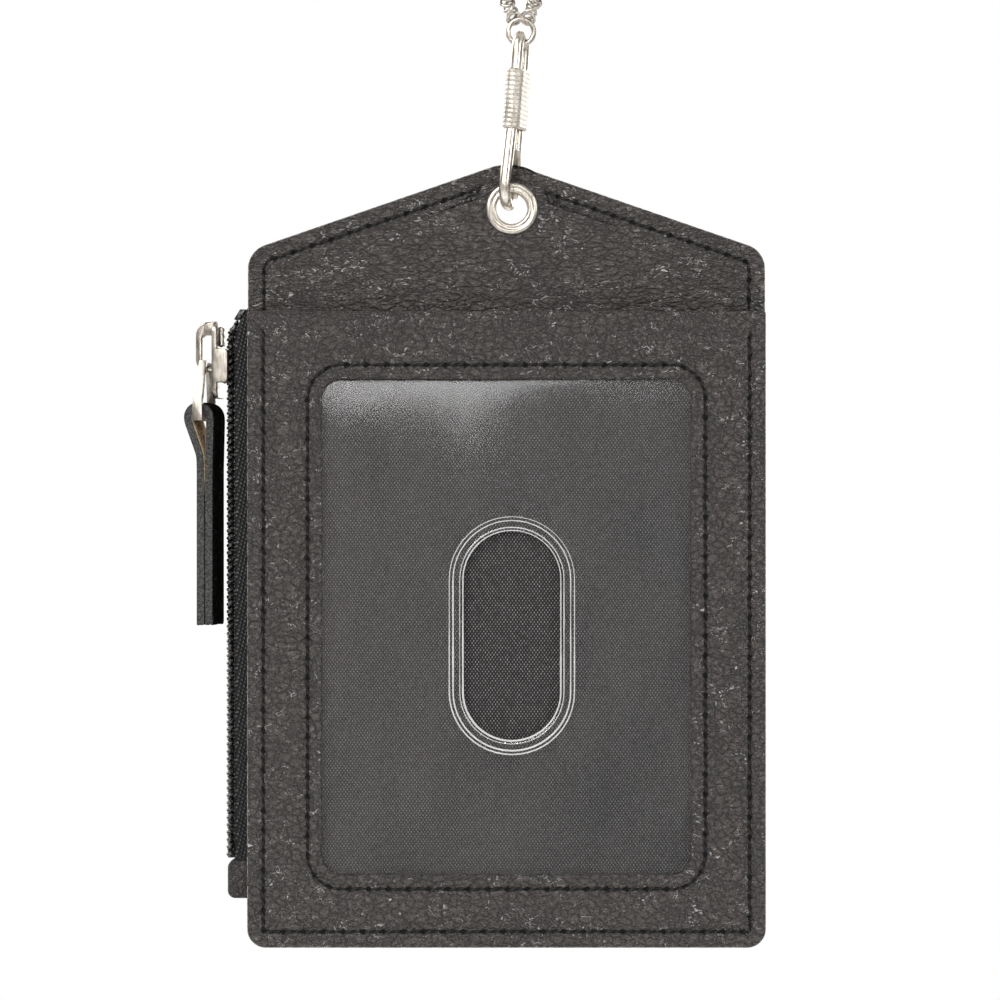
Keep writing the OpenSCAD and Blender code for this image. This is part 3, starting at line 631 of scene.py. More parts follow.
@cache
def coil_nylon():
    """Glossy black monofilament with lighter spots where a noise is high: painted highlights on the coil turns,
    rougher there.
    """
    t, place = new_material("nylon coil")
    spotted = t.spread(t.noise(place, 2600.0, 2.0), 0.46, 0.66)
    # Painted highlight: the noise spots are drawn lighter than the black nylon.
    return finish_material(t, Base_Color=t.mix(spotted, grey(0.008), (0.09, 0.088, 0.084, 1)),
                           Roughness=t.spread(spotted, 0.0, 1.0, 0.16, 0.4))


GRAIN_UV, EDGE_UV, FLESH_UV = 0.1, 0.5, 0.9


@cache
def tab_leather():
    """Pull tab: grain side out, drawn far darker than the panel leather as painted shade of its shadowed face, grey
    cut edges, and a raw flesh side that is tan in the loop.

    The UV's first value says which side a point is on, and its second runs along the strip, with the loop
    at its middle.
    """
    s = settings()
    t, place = new_material("tab leather", Specular_IOR_Level=0.0)
    # Painted shade: the grain side is drawn at 0.14 of the leather colour for its shadowed outer face.
    grain = use_group(t, pebble_group(), Vector=place, Scale=1200.0, Warp=1.2, Fleck=0.2,
                      Color=rgba(s.leather_color, 0.14), Fleck_Color=rgba(s.glint_color))
    side, along = t.uv()[:2]
    fibre = t.noise(place, 3200.0, 4.0, 0.7)
    edge = t.mix(t.spread(fibre, 0.35, 0.7), grey(0.030), (0.105, 0.104, 0.101, 1))
    flesh = t.mix(t.spread(fibre, 0.3, 0.7), rgba(s.flesh_color, 0.7), rgba(s.flesh_color, 1.15))
    leg = t.spread(t.math("ABSOLUTE", t.math("SUBTRACT", along, 0.5)), 0.17, 0.22)
    flesh = t.mix(leg, flesh, (0.012, 0.010, 0.009, 1))
    is_edge, is_flesh = t.spread(side, 0.24, 0.26), t.spread(side, 0.74, 0.76)
    return finish_material(t, t.math("ADD", grain["Height"], fibre), 0.12 * MM,
                           Base_Color=t.mix(is_flesh, t.mix(is_edge, grain["Color"], edge), flesh),
                           Roughness=t.spread(is_edge, 0.0, 1.0, 0.6, 0.9))


# Leather plates and stitches

EDGE_R = 0.30 * MM
GROOVE_DEPTH, GROOVE_WIDTH = 0.40 * MM, 0.17 * MM


def groove(inset, run, pitch, shown):
    """Depth of a stitch groove: a Gaussian across it, deepest and widest at the needle holes.

    depth(d, s) = depth * exp(-((d - inset) / w)^2) * (0.4 + 0.6 c) with c = cos^14(pi (s - 0.9 |d - inset|)
    / pitch), which draws each hole out into a V. The second result is how dark the thread's shadow is.
    """
    def at(d):
        off = d - inset
        hole = np.cos(np.pi * (run - 0.9 * abs(off)) / pitch) ** 14
        shape = np.exp(-(off / (GROOVE_WIDTH * (1.0 + 1.5 * hole))) ** 2) * shown
        return GROOVE_DEPTH * shape * (0.4 + 0.6 * hole), shape * (0.74 + 0.26 * hole)
    return at


def leather_plate(name, material, corners, face_y, back_y, inner=None, hole=None, lift=None, top=None):
    """A leather plate with rolled edges, stitch grooves and an opening that goes right through.

    Rows run from the back over the outer edge and the face to the opening and back again. inner is the
    opening's outline with as many corners as the plate, and hole is a circle (x, height, radius). A groove
    follows the outer edge up to the height top, and one the opening of inner. lift(x, h) is a small rise
    of the face. The UV's first value is 1 on the cut edge, where a painted edge highlight goes, and its
    second is the painted shade of the stitch groove, 1 in a needle hole.
    """
    s = settings()
    out = -1 if face_y < back_y else 1
    thick = abs(back_y - face_y)

    def outer_at(d):
        return outline(inset_corners(corners, d), 250)[0]

    if inner is None:
        x, h, r = hole if hole else (0.0, float(outer_at(0)[:, 1].mean()), 0.4 * MM)
        toward = outer_at(0) - np.array([x, h])
        toward /= np.linalg.norm(toward, axis=1, keepdims=True)

    def inner_at(d):
        if inner is not None:
            return outline(inset_corners(inner, -d), 250)[0]
        return np.array([x, h]) + (r + d) * toward

    def cut_along(line, inset, shown=1.0):
        run = running_length(closed_up(line))
        return groove(inset, run[:-1], run[-1] / int(round(run[-1] / s.stitch_pitch)), shown)

    insets = [s.edge_inset]
    line = outer_at(s.edge_inset)
    cuts = {"outer": cut_along(line, s.edge_inset, 1.0 if top is None else (line[:, 1] < top).astype(float))}
    if inner is not None:
        insets.append(s.window_inset)
        cuts["inner"] = cut_along(inner_at(s.window_inset), s.window_inset)
    rolled = [(EDGE_R * (1 - math.cos(a)), EDGE_R * (1 - math.sin(a))) for a in np.linspace(0, np.pi / 2, 5)]
    near = {EDGE_R * 2.2} | {inset + k * 0.12 * MM for inset in insets for k in range(-7, 8)}
    widest = max([EDGE_R * 2.2] + insets) + 1.5 * MM
    near = sorted(d for d in near if d > EDGE_R * 1.3) + [widest]
    rows, masks = [], []

    def add_row(xy, d=0.0, where=None, sink=None, is_edge=0.0):
        depth, groove_shade = np.zeros(len(xy)), np.zeros(len(xy))
        if sink is not None:
            depth = depth + sink
        else:
            if where in cuts:
                # The groove's second result is the painted shade along the stitch line and in the needle holes.
                depth, groove_shade = cuts[where](d)
            if lift is not None:
                depth = depth - np.clip((d - EDGE_R) / (2.5 * MM), 0, 1) ** 2 * lift(*xy.T)
        rows.append(body_point(xy[:, 0], face_y - out * depth, xy[:, 1]))
        masks.append(np.stack([np.broadcast_to(is_edge, len(xy)), groove_shade], axis=1))

    rim = [(EDGE_R * 0.5, thick), (0.0, thick - EDGE_R * 0.4)] + rolled
    for d, depth in rim:
        xy = outer_at(d)
        # The cut edge below the top gets the lighter edge colour, partly a painted edge highlight.
        below = xy[:, 1] < (np.inf if top is None else top)
        add_row(xy, sink=depth, is_edge=below * float(d < EDGE_R * 0.3))
    for d in near:
        add_row(outer_at(d), d, "outer")
    start = outer_at(widest)
    end = inner_at(widest if inner is not None or hole else 0.0)
    for share in np.linspace(0, 1, 9)[1:-1]:
        far = np.minimum(share, 1 - share) * np.linalg.norm(end - start, axis=1) + widest
        add_row(start + (end - start) * share, far)
    if inner is not None or hole:
        for d in reversed(near):
            add_row(inner_at(d), d, "inner")
        for d, depth in reversed(rim):
            add_row(inner_at(d), sink=depth)
    else:
        add_row(end, 1.0)
        middle = rows[-1].mean(axis=0)
        for place in (middle, middle - np.array([0, thick * out, 0])):
            rows.append(np.broadcast_to(place, rows[0].shape))
            masks.append(np.zeros(masks[0].shape))
    return grid_piece(name, np.stack(rows), material, wrap_rows=True, uv=np.stack(masks))


def soft_lift(amount, seed):
    """A gentle rise and fall of a face, from five sine waves of random direction and length."""
    rng = np.random.default_rng(seed)
    turn = rng.uniform(0, 2 * np.pi, 5)
    length = rng.uniform(17, 48, 5) * MM
    phase = rng.uniform(0, 2 * np.pi, 5)

    def lift(x, h):
        waves = [np.sin((x * math.cos(a) + h * math.sin(a)) * 2 * np.pi / l + p)
                 for a, l, p in zip(turn, length, phase)]
        return amount * sum(waves) / 5
    return lift


def stitch_row(name, places, face_y, out, node=None, skip=None):
    """Thread along a row of stitches: each is a short arch whose two ends dive into the leather.

    Its middle line stands r (0.15 - 2.2 (2t)^4) over the face for t from -1/2 to 1/2, and it is turned 5
    degrees off its row. face_y may be a function of x and height; skip(x, height) leaves stitches out.
    """
    radius = settings().thread_d / 2
    share = np.linspace(-0.5, 0.5, 9)
    profile = circle_profile(1.0, 10)
    tilt = math.radians(5) * -out
    spin = np.array([[math.cos(tilt), -math.sin(tilt)], [math.sin(tilt), math.cos(tilt)]])
    rise = radius * (0.15 - 2.2 * np.abs(2 * share) ** 4)
    scale = radius * np.sqrt(np.clip(1.08 - (2 * share) ** 8, 0.05, 1))
    rng = np.random.default_rng(len(places[0]))
    tubes = []
    for middle, start, end in zip(*places):
        if skip and skip(*middle):
            continue
        face = face_y(*middle) if callable(face_y) else face_y
        step = spin @ (end - start) * 1.24 * rng.uniform(0.94, 1.03)
        xy = middle + rng.normal(0, 0.03 * MM, 2) + share[:, None] * step
        path = body_point(xy[:, 0], face + out * rise, xy[:, 1])
        tubes.append(capped(sweep(path, profile, np.array([0.0, 1.0, 0.0]), scale=scale)))
    u, v = np.meshgrid(np.linspace(0, 1, len(tubes[0])), np.linspace(0, 1, 10, endpoint=False), indexing="ij")
    uv = np.tile(np.stack([u, v], axis=-1).reshape(-1, 2), (len(tubes), 1))
    rows = merged_tubes(name, tubes, thread(), uv=uv)
    finish_piece(rows, "wallet", "thread", *([node] if node else []))


def merged_tubes(name, tubes, material, wrap_rows=False, uv=None):
    """Many tubes of one size as one mesh."""
    quads = grid_quads(*tubes[0].shape[:2], wrap_rows)
    size = tubes[0].shape[0] * tubes[0].shape[1]
    quads = np.concatenate([quads + i * size for i in range(len(tubes))])
    return add_mesh(name, np.concatenate([tube.reshape(-1, 3) for tube in tubes]), quads, material, uv)


def window_corners():
    """The window's opening."""
    s = settings()
    x = s.window_w / 2
    return box_corners(-x, s.window_low, x, s.window_low + s.window_h, (s.window_r,) * 4)


def front_corners():
    """The front panel: round below, and nearly sharp where it ends at the pocket's mouth."""
    s = settings()
    return box_corners(-HALF_W, 0, HALF_W, MOUTH_Z - FOOT_Z, (s.foot_r, s.foot_r, 0.4 * MM, 0.4 * MM))


def eyelet_place():
    """Centre of the eyelet from the middle of the body and its bottom edge."""
    low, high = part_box("eyelet_front")
    return (low[0] + high[0]) / 2 - MIDDLE_X, (low[2] + high[2]) / 2 - FOOT_Z


def near_eyelet(x, h):
    """Whether a stitch at this place would run under the eyelet's flange."""
    ex, eh = eyelet_place()
    return math.hypot(x - ex, h - eh) < 4.7 * MM


# Bent wire, turned and folded shapes

HOOK_LEAN, HOOK_TURN = math.radians(4.5), math.radians(15)
HOOK_SEAT = 0.51 * MM
HOOK_LEG = 1.9 * MM
HOOK_WIRE_R = 0.85 * MM
# Along the hook from the bottom of its bow, in mm
BOW_H, TIP_H, NECK_H, LEG_END_H, EYE_H = 3, 8.36, 11.0, 16.89, 23.4
PIN_H, SLEEVE_H = (8.45, 12.49), (11.3, 20.2)
EYE_R = 1.9
SLEEVE_RIBS = 13
SLIDER_TURN = math.radians(9)


def hook_point(across, up, aside=0.0):
    """A place in the hook's own plane: across its legs, up its length and aside from that plane."""
    x = aside * math.cos(HOOK_TURN) + across * math.sin(HOOK_TURN)
    y = -aside * math.sin(HOOK_TURN) + across * math.cos(HOOK_TURN)
    ex, eh = eyelet_place()
    return body_point(ex - HOOK_SEAT + x * math.cos(HOOK_LEAN) + up * math.sin(HOOK_LEAN), y,
                      eh + HOOK_SEAT - x * math.sin(HOOK_LEAN) + up * math.cos(HOOK_LEAN))


def slider_point(x, y, h):
    """A place in the slider's frame, which is turned a little towards the window."""
    low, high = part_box("zip_coil_front")
    middle_y = (low[1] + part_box("zip_coil_rear")[1][1]) / 2
    c, s = math.cos(SLIDER_TURN), math.sin(SLIDER_TURN)
    return body_point((low[0] + high[0]) / 2 - MIDDLE_X + x * c + y * s, middle_y - x * s + y * c, h)


def smooth_path(points, step, passes):
    """Resamples a polyline evenly and rounds its corners by repeated three-point averages."""
    points = np.asarray(points, dtype=float)
    run = running_length(points)
    count = max(8, int(round(run[-1] / step)))
    at = np.linspace(0, run[-1], count + 1)
    path = np.stack([np.interp(at, run, points[:, i]) for i in (0, 1)], axis=1)
    for _ in range(passes):
        path[1:-1] = (path[:-2] + 2 * path[1:-1] + path[2:]) / 4
    return path


def turned(name, profile, center, out, material):
    """Turns a closed profile of (radius, distance out of the surface) about an axis along Y."""
    angle = np.linspace(0, 2 * np.pi, 96, endpoint=False)[:, None]
    r, y = np.asarray(profile).T
    points = np.broadcast_arrays(center[0] + r * np.cos(angle), center[1] + out * y, center[2] + r * np.sin(angle))
    return grid_piece(name, np.stack(points, axis=-1), material, wrap_rows=True)


def arc_points(cx, cy, r, first, last, count):
    """Points on an arc, between two angles in degrees."""
    return [(cx + r * math.cos(a), cy + r * math.sin(a)) for a in np.radians(np.linspace(first, last, count))]


def wire_loop(center, radius, wire, axis_u, axis_v, sides, steps):
    """A closed ring of wire in the plane of two unit directions."""
    angle = np.linspace(0, 2 * np.pi, steps, endpoint=False)[:, None]
    path = center + radius * (np.cos(angle) * axis_u + np.sin(angle) * axis_v)
    return sweep(path, circle_profile(wire / 2, sides), np.cross(axis_u, axis_v), closed=True)


def rope_strand(name, start, end):
    """Rope chain: flat rings packed along a line, each turned 47 degrees on from the last.

    The centres are spaced evenly, the first and the last 0.75 radii inside the ends. Each ring's plane
    leans to the line: one of its axes is across, and the other 40 degrees off the line.
    """
    radius, wire, step, turn, tilt = 1.0 * MM, 0.52 * MM, 0.62 * MM, math.radians(47), math.radians(40)
    length = np.linalg.norm(end - start)
    forward = (end - start) / length
    side = np.cross(forward, [0.0, 1.0, 0.0])
    side /= np.linalg.norm(side)
    up = np.cross(forward, side)
    count = int((length - 2 * radius) / step)
    loops = []
    for i in range(count + 1):
        c, s = math.cos(i * turn), math.sin(i * turn)
        leaned = (up * c - side * s) * math.sin(tilt) + forward * math.cos(tilt)
        center = start + forward * (radius * 0.75 + i * (length - 1.5 * radius) / count)
        loops.append(wire_loop(center, radius, wire, side * c + up * s, leaned, 12, 30))
    return merged_tubes(name, loops, nickel("chain"), wrap_rows=True)


def bevel_copy(name, node, body, slot, material, width, segments=3):
    """The solid of a node, cleaned of flat edges and bevelled where it turns more than 28 degrees."""
    source = bpy.data.objects[node]
    work = bmesh.new()
    work.from_mesh(source.data)
    bmesh.ops.transform(work, matrix=source.matrix_world, verts=work.verts)
    bmesh.ops.remove_doubles(work, verts=work.verts, dist=2e-6)
    bmesh.ops.dissolve_limit(work, angle_limit=math.radians(2), verts=work.verts, edges=work.edges)
    bmesh.ops.recalc_face_normals(work, faces=work.faces)
    mesh = bpy.data.meshes.new(name)
    work.to_mesh(mesh)
    work.free()
    mesh.polygons.foreach_set("use_smooth", np.ones(len(mesh.polygons), dtype=bool))
    mesh.materials.append(material)
    obj = bpy.data.objects.new(name, mesh)
    bpy.context.scene.collection.objects.link(obj)
    bevel = obj.modifiers.new("Bevel", "BEVEL")
    bevel.width, bevel.segments = width, segments
    bevel.limit_method, bevel.angle_limit = "ANGLE", math.radians(28)
    bevel.harden_normals = True
    return finish_piece(obj, body, slot, node)


# Operators: each builds one piece or one group of pieces

SUNK = 0.05 * MM


class WALLET_OT_front_panel(bpy.types.Operator):
    """Front leather panel with its window, rolled edges and sunk stitch lines"""
    bl_idname = "wallet.front_panel"
    bl_label = "Front panel"

    def execute(self, context):
        s = settings()
        face, top = float(PANEL_LOW[1]), MOUTH_Z - FOOT_Z - s.edge_inset * 1.3
        plate = leather_plate("Front_leather", leather("front"), front_corners(), face, float(PANEL_HIGH[1]),
                              inner=window_corners(), lift=soft_lift(0.16 * MM, 4), top=top)
        finish_piece(plate, "wallet", "leather_front", "front_panel")
        stitch_row("Front_stitches", even_places(front_corners(), s.edge_inset), face + SUNK, -1,
                   skip=lambda x, h: h > top)
        stitch_row("Window_stitches", even_places(window_corners(), -s.window_inset), face + SUNK, -1,
                   "window_stitches")
        return {"FINISHED"}


class WALLET_OT_header(bpy.types.Operator):
    """Header and divider leather with the peak, shoulders and the eyelet's hole"""
    bl_idname = "wallet.header"
    bl_label = "Header and divider"

    def execute(self, context):
        corners = body_corners()
        hole = (*eyelet_place(), 2.5 * MM)
        front, back = float(HEADER_LOW[1]), float(HEADER_HIGH[1])
        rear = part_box("divider_panel")[1][1]
        seam = 0.04 * MM
        plate = leather_plate("Header_leather", leather("header"), corners, front, back - seam, hole=hole,
                              lift=soft_lift(0.10 * MM, 9))
        finish_piece(plate, "wallet", "leather_front", "header_panel")
        plate = leather_plate("Divider_leather", leather("back"), corners, rear, back + seam, hole=hole,
                              lift=soft_lift(0.08 * MM, 12))
        finish_piece(plate, "wallet", "leather_back", "divider_panel")
        above = MOUTH_Z - FOOT_Z + 1.2 * MM
        stitch_row("Header_stitches", even_places(corners, settings().edge_inset), front + SUNK, -1,
                   "body_stitches", skip=lambda x, h: h < above or near_eyelet(x, h))
        return {"FINISHED"}


class WALLET_OT_rear(bpy.types.Operator):
    """Rear panel and the three stepped card leaves, with their stitch line"""
    bl_idname = "wallet.rear"
    bl_label = "Rear panel and leaves"

    def execute(self, context):
        s = settings()
        faces = []
        for i, node in enumerate(("rear_panel", "card_leaf_upper", "card_leaf_middle", "card_leaf_lower")):
            low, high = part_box(node)
            x0, x1, height, face = low[0] - MIDDLE_X, high[0] - MIDDLE_X, high[2] - FOOT_Z, float(high[1])
            corners = box_corners(x0, 0, x1, height, (s.foot_r, s.foot_r, 0.5 * MM, 0.5 * MM))
            plate = leather_plate(node.capitalize(), leather("back"), corners, face, float(low[1]) + 0.03 * MM,
                                  lift=soft_lift(0.12 * MM, 20 + i), top=height - s.edge_inset * 1.3)
            finish_piece(plate, "wallet", "leather_back", node)
            faces.append((height, face))
        faces.append((PEAK, float(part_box("divider_panel")[1][1])))
        faces.sort()

        def face_at(x, h):
            return next(y for top, y in faces if h < top - 0.2 * MM or top == faces[-1][0]) - SUNK

        stitch_row("Rear_stitches", even_places(body_corners(), s.edge_inset), face_at, 1, "rear_stitches",
                   skip=near_eyelet)
        return {"FINISHED"}


RIM_W = 2.35 * MM
# Each bead's name, its distance from the slot, half width and half height in mm, and the solid it stands for
BEADS = (("Slot_bead", 0.16, 0.15, 0.16, ["slot_rim"]), ("Slot_bead_2", 0.62, 0.09, 0.07, []),
         ("Slot_bead_3", 1.62, 0.14, 0.14, []), ("Slot_bead_4", 2.18, 0.11, 0.12, []))


class WALLET_OT_window(bpy.types.Operator):
    """Clear sheet with its thumb slot, and the welded beads round the slot"""
    bl_idname = "wallet.window"
    bl_label = "Clear window"

    def execute(self, context):
        s = settings()
        low, high = box("window_sheet")
        rim_low, rim_high = box("slot_rim")
        mid_x, mid_h = (rim_low[0] + rim_high[0]) / 2 - MIDDLE_X, (rim_low[2] + rim_high[2]) / 2 - FOOT_Z
        half_w, half_h = (rim_high[0] - rim_low[0]) / 2 - RIM_W, (rim_high[2] - rim_low[2]) / 2 - RIM_W
        outer = box_corners(low[0] - MIDDLE_X, low[2] - FOOT_Z, high[0] - MIDDLE_X, high[2] - FOOT_Z, (1 * MM,) * 4)
        slot = box_corners(mid_x - half_w, mid_h - half_h, mid_x + half_w, mid_h + half_h, (half_w - 1e-6,) * 4)
        outer_xy, _ = outline(outer)
        slot_xy, slot_normal = outline(slot)
        waves = soft_lift(0.14 * MM, 31)
        window_top = s.window_low + s.window_h + 0.5 * MM

        def hollow(x, h):
            """Hollow under the top edge: A exp(-(top - h) / 7 mm), deepest left of the middle."""
            left = np.exp(-((x + 8 * MM) / (18 * MM)) ** 2)
            return (0.14 + 0.50 * left) * MM * np.exp(-np.abs(window_top - h) / (7.0 * MM))

        rows = []
        for share in np.concatenate([[0.0], np.linspace(0, 1, 40) ** 0.9]):
            x, h = (outer_xy + (slot_xy - outer_xy) * share).T
            sink = min(1.0, 3 * (1 - share)) * hollow(x, h) - min(1.0, 8 * share * (1 - share)) * waves(x, h)
            rows.append(body_point(x, low[1] + 0.02 * MM + sink, h))
        back = [row + np.array([0, high[1] - low[1] - 0.04 * MM, 0]) for row in reversed(rows)]
        sheet = grid_piece("Clear_sheet", np.stack(rows + back), clear_sheet(), wrap_rows=True)
        finish_piece(sheet, "wallet", "clear_sheet", "window_sheet")
        for name, grow, width, height, nodes in BEADS:
            x, h = (slot_xy + slot_normal * grow * MM).T
            path = body_point(x, float(low[1]), h)
            path = path[np.linalg.norm(path - np.roll(path, 1, axis=0), axis=1) > 1e-6]
            turn = np.linspace(0, 2 * np.pi, len(path), endpoint=False)
            uneven = 0.80 + 0.22 * np.sin(turn + 9 * grow) + 0.12 * np.sin(5 * turn + 3 * grow)
            side = np.cross(tangents(path, True), [0, 1.0, 0])
            profile = circle_profile(1.0, 14) * np.array([width * MM, height * MM])
            bead = sweep(path, profile, side, closed=True, scale=uneven)
            finish_piece(grid_piece(name, bead, clear_rim(), wrap_rows=True), "wallet", "clear_sheet", *nodes)
        return {"FINISHED"}


def band_curl(points):
    """Draws the band's upper end in to the wallet's side, by the square of the height above the start."""
    top, side_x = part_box("zip_tape_front")[1][2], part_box("front_panel")[0][0]
    rise = np.clip((points[..., 2] - top) / (5.5 * MM) + 1, 0, 1)
    share = np.clip((side_x - points[..., 0]) / (2 * MM), 0, 1)
    moved = points.copy()
    moved[..., 0] += 2.2 * MM * rise ** 2 * share
    return moved


def tape_section(low, high, side):
    """L-shaped section of a tape in plan: the wall beside the coil, a bend, and the sewn-in flange."""
    thick, bend = 0.5 * MM, 0.9 * MM
    face, inward, end_y = (low[1], 1.0, high[1]) if side < 0 else (high[1], -1.0, low[1])
    points = []
    for inset, order in ((0.0, 1), (thick, -1)):
        wall = [(low[0] + inset, y) for y in np.linspace(end_y, face + inward * bend, 5)]
        arc = [(low[0] + bend - (bend - inset) * math.cos(a), face + inward * (bend - (bend - inset) * math.sin(a)))
               for a in np.linspace(0, math.pi / 2, 7)[1:]]
        flange = [(x, face + inward * inset) for x in np.linspace(low[0] + bend, high[0], 8)[1:]]
        points += (wall + arc + flange)[::order]
    return np.array(points)


COIL_WIRE, COIL_OUT = 0.30 * MM, 0.12 * MM


class WALLET_OT_zip(bpy.types.Operator):
    """Tapes and nylon coils of the zip: each coil a flattened spring, half a turn out of step"""
    bl_idname = "wallet.zip"
    bl_label = "Zip band"

    def execute(self, context):
        middle = (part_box("zip_coil_front")[0][1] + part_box("zip_coil_rear")[1][1]) / 2
        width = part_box("zip_coil_rear")[1][1] - middle
        foot_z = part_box("zip_bottom_stop")[0][2]
        turns = settings().coil_turns
        share = np.arange(turns * 22 + 1) / 22.0
        wave = np.cos(2 * np.pi * share)
        for side, node in ((-1, "zip_tape_front"), (1, "zip_tape_rear")):
            low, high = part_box(node)
            flat = tape_section(low, high, side)
            heights = [low[2], high[2] - 6 * MM, *np.linspace(high[2] - 5.5 * MM, high[2], 16)]
            rows = np.stack([np.column_stack([flat, np.full(len(flat), z)]) for z in heights])
            finish_piece(capped_grid(node.capitalize(), band_curl(rows), woven("tape")), "wallet", "tape", node)
        for side, node in ((-1, "zip_coil_front"), (1, "zip_coil_rear")):
            low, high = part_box(node)
            out_y = width * 0.52 - width * 0.56 * wave * (1 + 0.12 * wave)
            half = (high[0] - low[0]) / 2 - COIL_WIRE + COIL_OUT
            x = (low[0] + high[0]) / 2 - COIL_OUT - half * np.sin(2 * np.pi * share)
            rise = (high[2] - foot_z + 0.6 * MM) / (turns + 0.5)
            z = foot_z + 0.25 * MM + (share + (0.0 if side < 0 else 0.5)) * rise + 0.22 * MM * wave
            path = np.stack([x, middle + side * out_y, z], axis=1)
            thick = COIL_WIRE * (1 + 0.30 * np.clip(wave, 0, 1) ** 6)
            tube = sweep(path, circle_profile(1.0, 8), np.array([0.0, 0.0, 1.0]), scale=thick)
            finish_piece(capped_grid(node.capitalize(), band_curl(tube), coil_nylon()), "wallet", "coil", node)
        return {"FINISHED"}


class WALLET_OT_eyelet(bpy.types.Operator):
    """Rolled eyelet: a double-rolled front ring on its barrel, and the washer behind"""
    bl_idname = "wallet.eyelet"
    bl_label = "Eyelet"

    def execute(self, context):
        low, high = box("eyelet_front")
        flange = (high[0] - low[0]) / 2
        face = float(HEADER_LOW[1])
        center = ((low[0] + high[0]) / 2, face, (low[2] + high[2]) / 2)
        roll, deep, bore = face - low[1], high[1] - face, flange - 1.6 * MM
        outer = arc_points(flange - 0.48 * MM, 0.02 * MM, 0.48 * MM, 0, 120, 12)
        inner = arc_points(bore + 0.42 * MM, roll - 0.43 * MM, 0.42 * MM, 75, 180, 12)
        profile = outer + [(bore + 0.86 * MM, roll * 0.74)] + inner + [
            (bore, 0.0), (bore, -deep), (bore + 0.28 * MM, -deep), (bore + 0.3 * MM, -0.1 * MM),
            (flange - 0.3 * MM, -0.1 * MM)]
        ring = turned("Eyelet_front", profile, center, -1, nickel("spotted"))
        finish_piece(ring, "wallet", "nickel", "eyelet_front")
        low, high = box("eyelet_back")
        flat, thick = (high[0] - low[0]) / 2, high[1] - low[1]
        profile = ([(flat, 0.0)] + arc_points(flat - 0.15 * MM, thick - 0.15 * MM, 0.15 * MM, 0, 90, 5)
                   + arc_points(bore + 0.55 * MM, thick - 0.2 * MM, 0.2 * MM, 90, 180, 5) + [(bore + 0.31 * MM, 0.0)])
        ring = turned("Eyelet_washer", profile, (center[0], float(low[1]), center[2]), 1, nickel("polished"))
        finish_piece(ring, "wallet", "nickel", "eyelet_back")
        return {"FINISHED"}


def hook_rod(name, path, body, node):
    """A round-ended wire along a path in the hook's plane."""
    aside = hook_point(0.0, 0.0, 1.0) - hook_point(0.0, 0.0, 0.0)
    path, scale = rounded_wire(path, HOOK_WIRE_R)
    wire = sweep(path, circle_profile(HOOK_WIRE_R, 24), aside, scale=scale)
    finish_piece(capped_grid(name, wire, nickel("polished")), body, "nickel", node)


class WALLET_OT_hook(bpy.types.Operator):
    """Bent wire hook and the ribbed sprung sleeve that closes it"""
    bl_idname = "wallet.hook"
    bl_label = "Hook and sleeve"

    def execute(self, context):
        bow = arc_points(0, BOW_H, BOW_H, 0, -180, 19)
        eye = [(-x, h) for x, h in arc_points(0, EYE_H, EYE_R, 0, 180, 19)]
        plane = np.array([(EYE_R, TIP_H), *bow, (-EYE_R, NECK_H), *eye, (EYE_R, LEG_END_H)]) * MM
        plane = smooth_path(plane, 0.35 * MM, 5)
        hook_rod("Hook_wire", hook_point(plane[:, 0], plane[:, 1]), "hook", "hook_wire")

        z = np.linspace(*SLEEVE_H, 280) * MM
        around = np.arange(180) / 180 * 2 * np.pi
        side = np.where(np.cos(around) >= 0, 1.0, -1.0)
        room, wall = 0.95 * MM, 0.25 * MM
        length = z[-1] - z[0]

        def ring(height, r):
            return hook_point(side * HOOK_LEG + r * np.cos(around), height, r * np.sin(around))

        rows = []
        for height in z:
            at = (height - z[0]) / length
            end = np.clip(min(at, 1 - at) * length / (0.35 * MM), 0, 1)
            wave = 0.5 + 0.5 * np.cos(2 * np.pi * ((height - z[0]) / (length / SLEEVE_RIBS) - 0.5))
            grow = wall * (0.45 + 0.55 * math.sqrt(max(0.0, end * (2 - end)))) + (0.09 + 0.06 * wave ** 0.6) * MM * end
            rows.append(ring(height, room + grow))
        rows += [ring(height, room) for height in z[::-1][::10]]
        sleeve = grid_piece("Ribbed_sleeve", np.stack(rows), nickel("satin"), wrap_rows=True)
        finish_piece(sleeve, "gate", "nickel", "hook_sleeve")
        hook_rod("Gate_pin", hook_point(np.full(20, HOOK_LEG), np.linspace(*PIN_H, 20) * MM), "gate", "gate_pin")
        return {"FINISHED"}


class WALLET_OT_chain(bpy.types.Operator):
    """Jump ring, two strands of rope chain and the flat hanging ring"""
    bl_idname = "wallet.chain"
    bl_label = "Chain and rings"

    def execute(self, context):
        low, high = box("jump_ring")
        center = (low + high) / 2
        wire = high[1] - low[1]
        radius = (high[0] - low[0] - wire) / 2
        loop = wire_loop(center, radius, wire, np.array([1.0, 0, 0]), np.array([0, 0, 1.0]), 20, 64)
        finish_piece(grid_piece("Jump_ring", loop, nickel("chain"), wrap_rows=True), "chain", "nickel", "jump_ring")
        seat, lean = math.radians(28), math.radians(22)
        for side, node in ((-1, "chain_left"), (1, "chain_right")):
            start = center + radius * np.array([side * math.sin(seat), 0, math.cos(seat)])
            forward = np.array([side * math.sin(lean), 0, math.cos(lean)])
            strand = rope_strand(node.capitalize(), start - forward * 0.45 * MM, start + forward * 10.6 * MM)
            finish_piece(strand, "chain", "nickel", node)
        bevel_copy("Hanging_ring", "hang_ring", "chain", "nickel", nickel("satin"), 0.28 * MM)
        return {"FINISHED"}


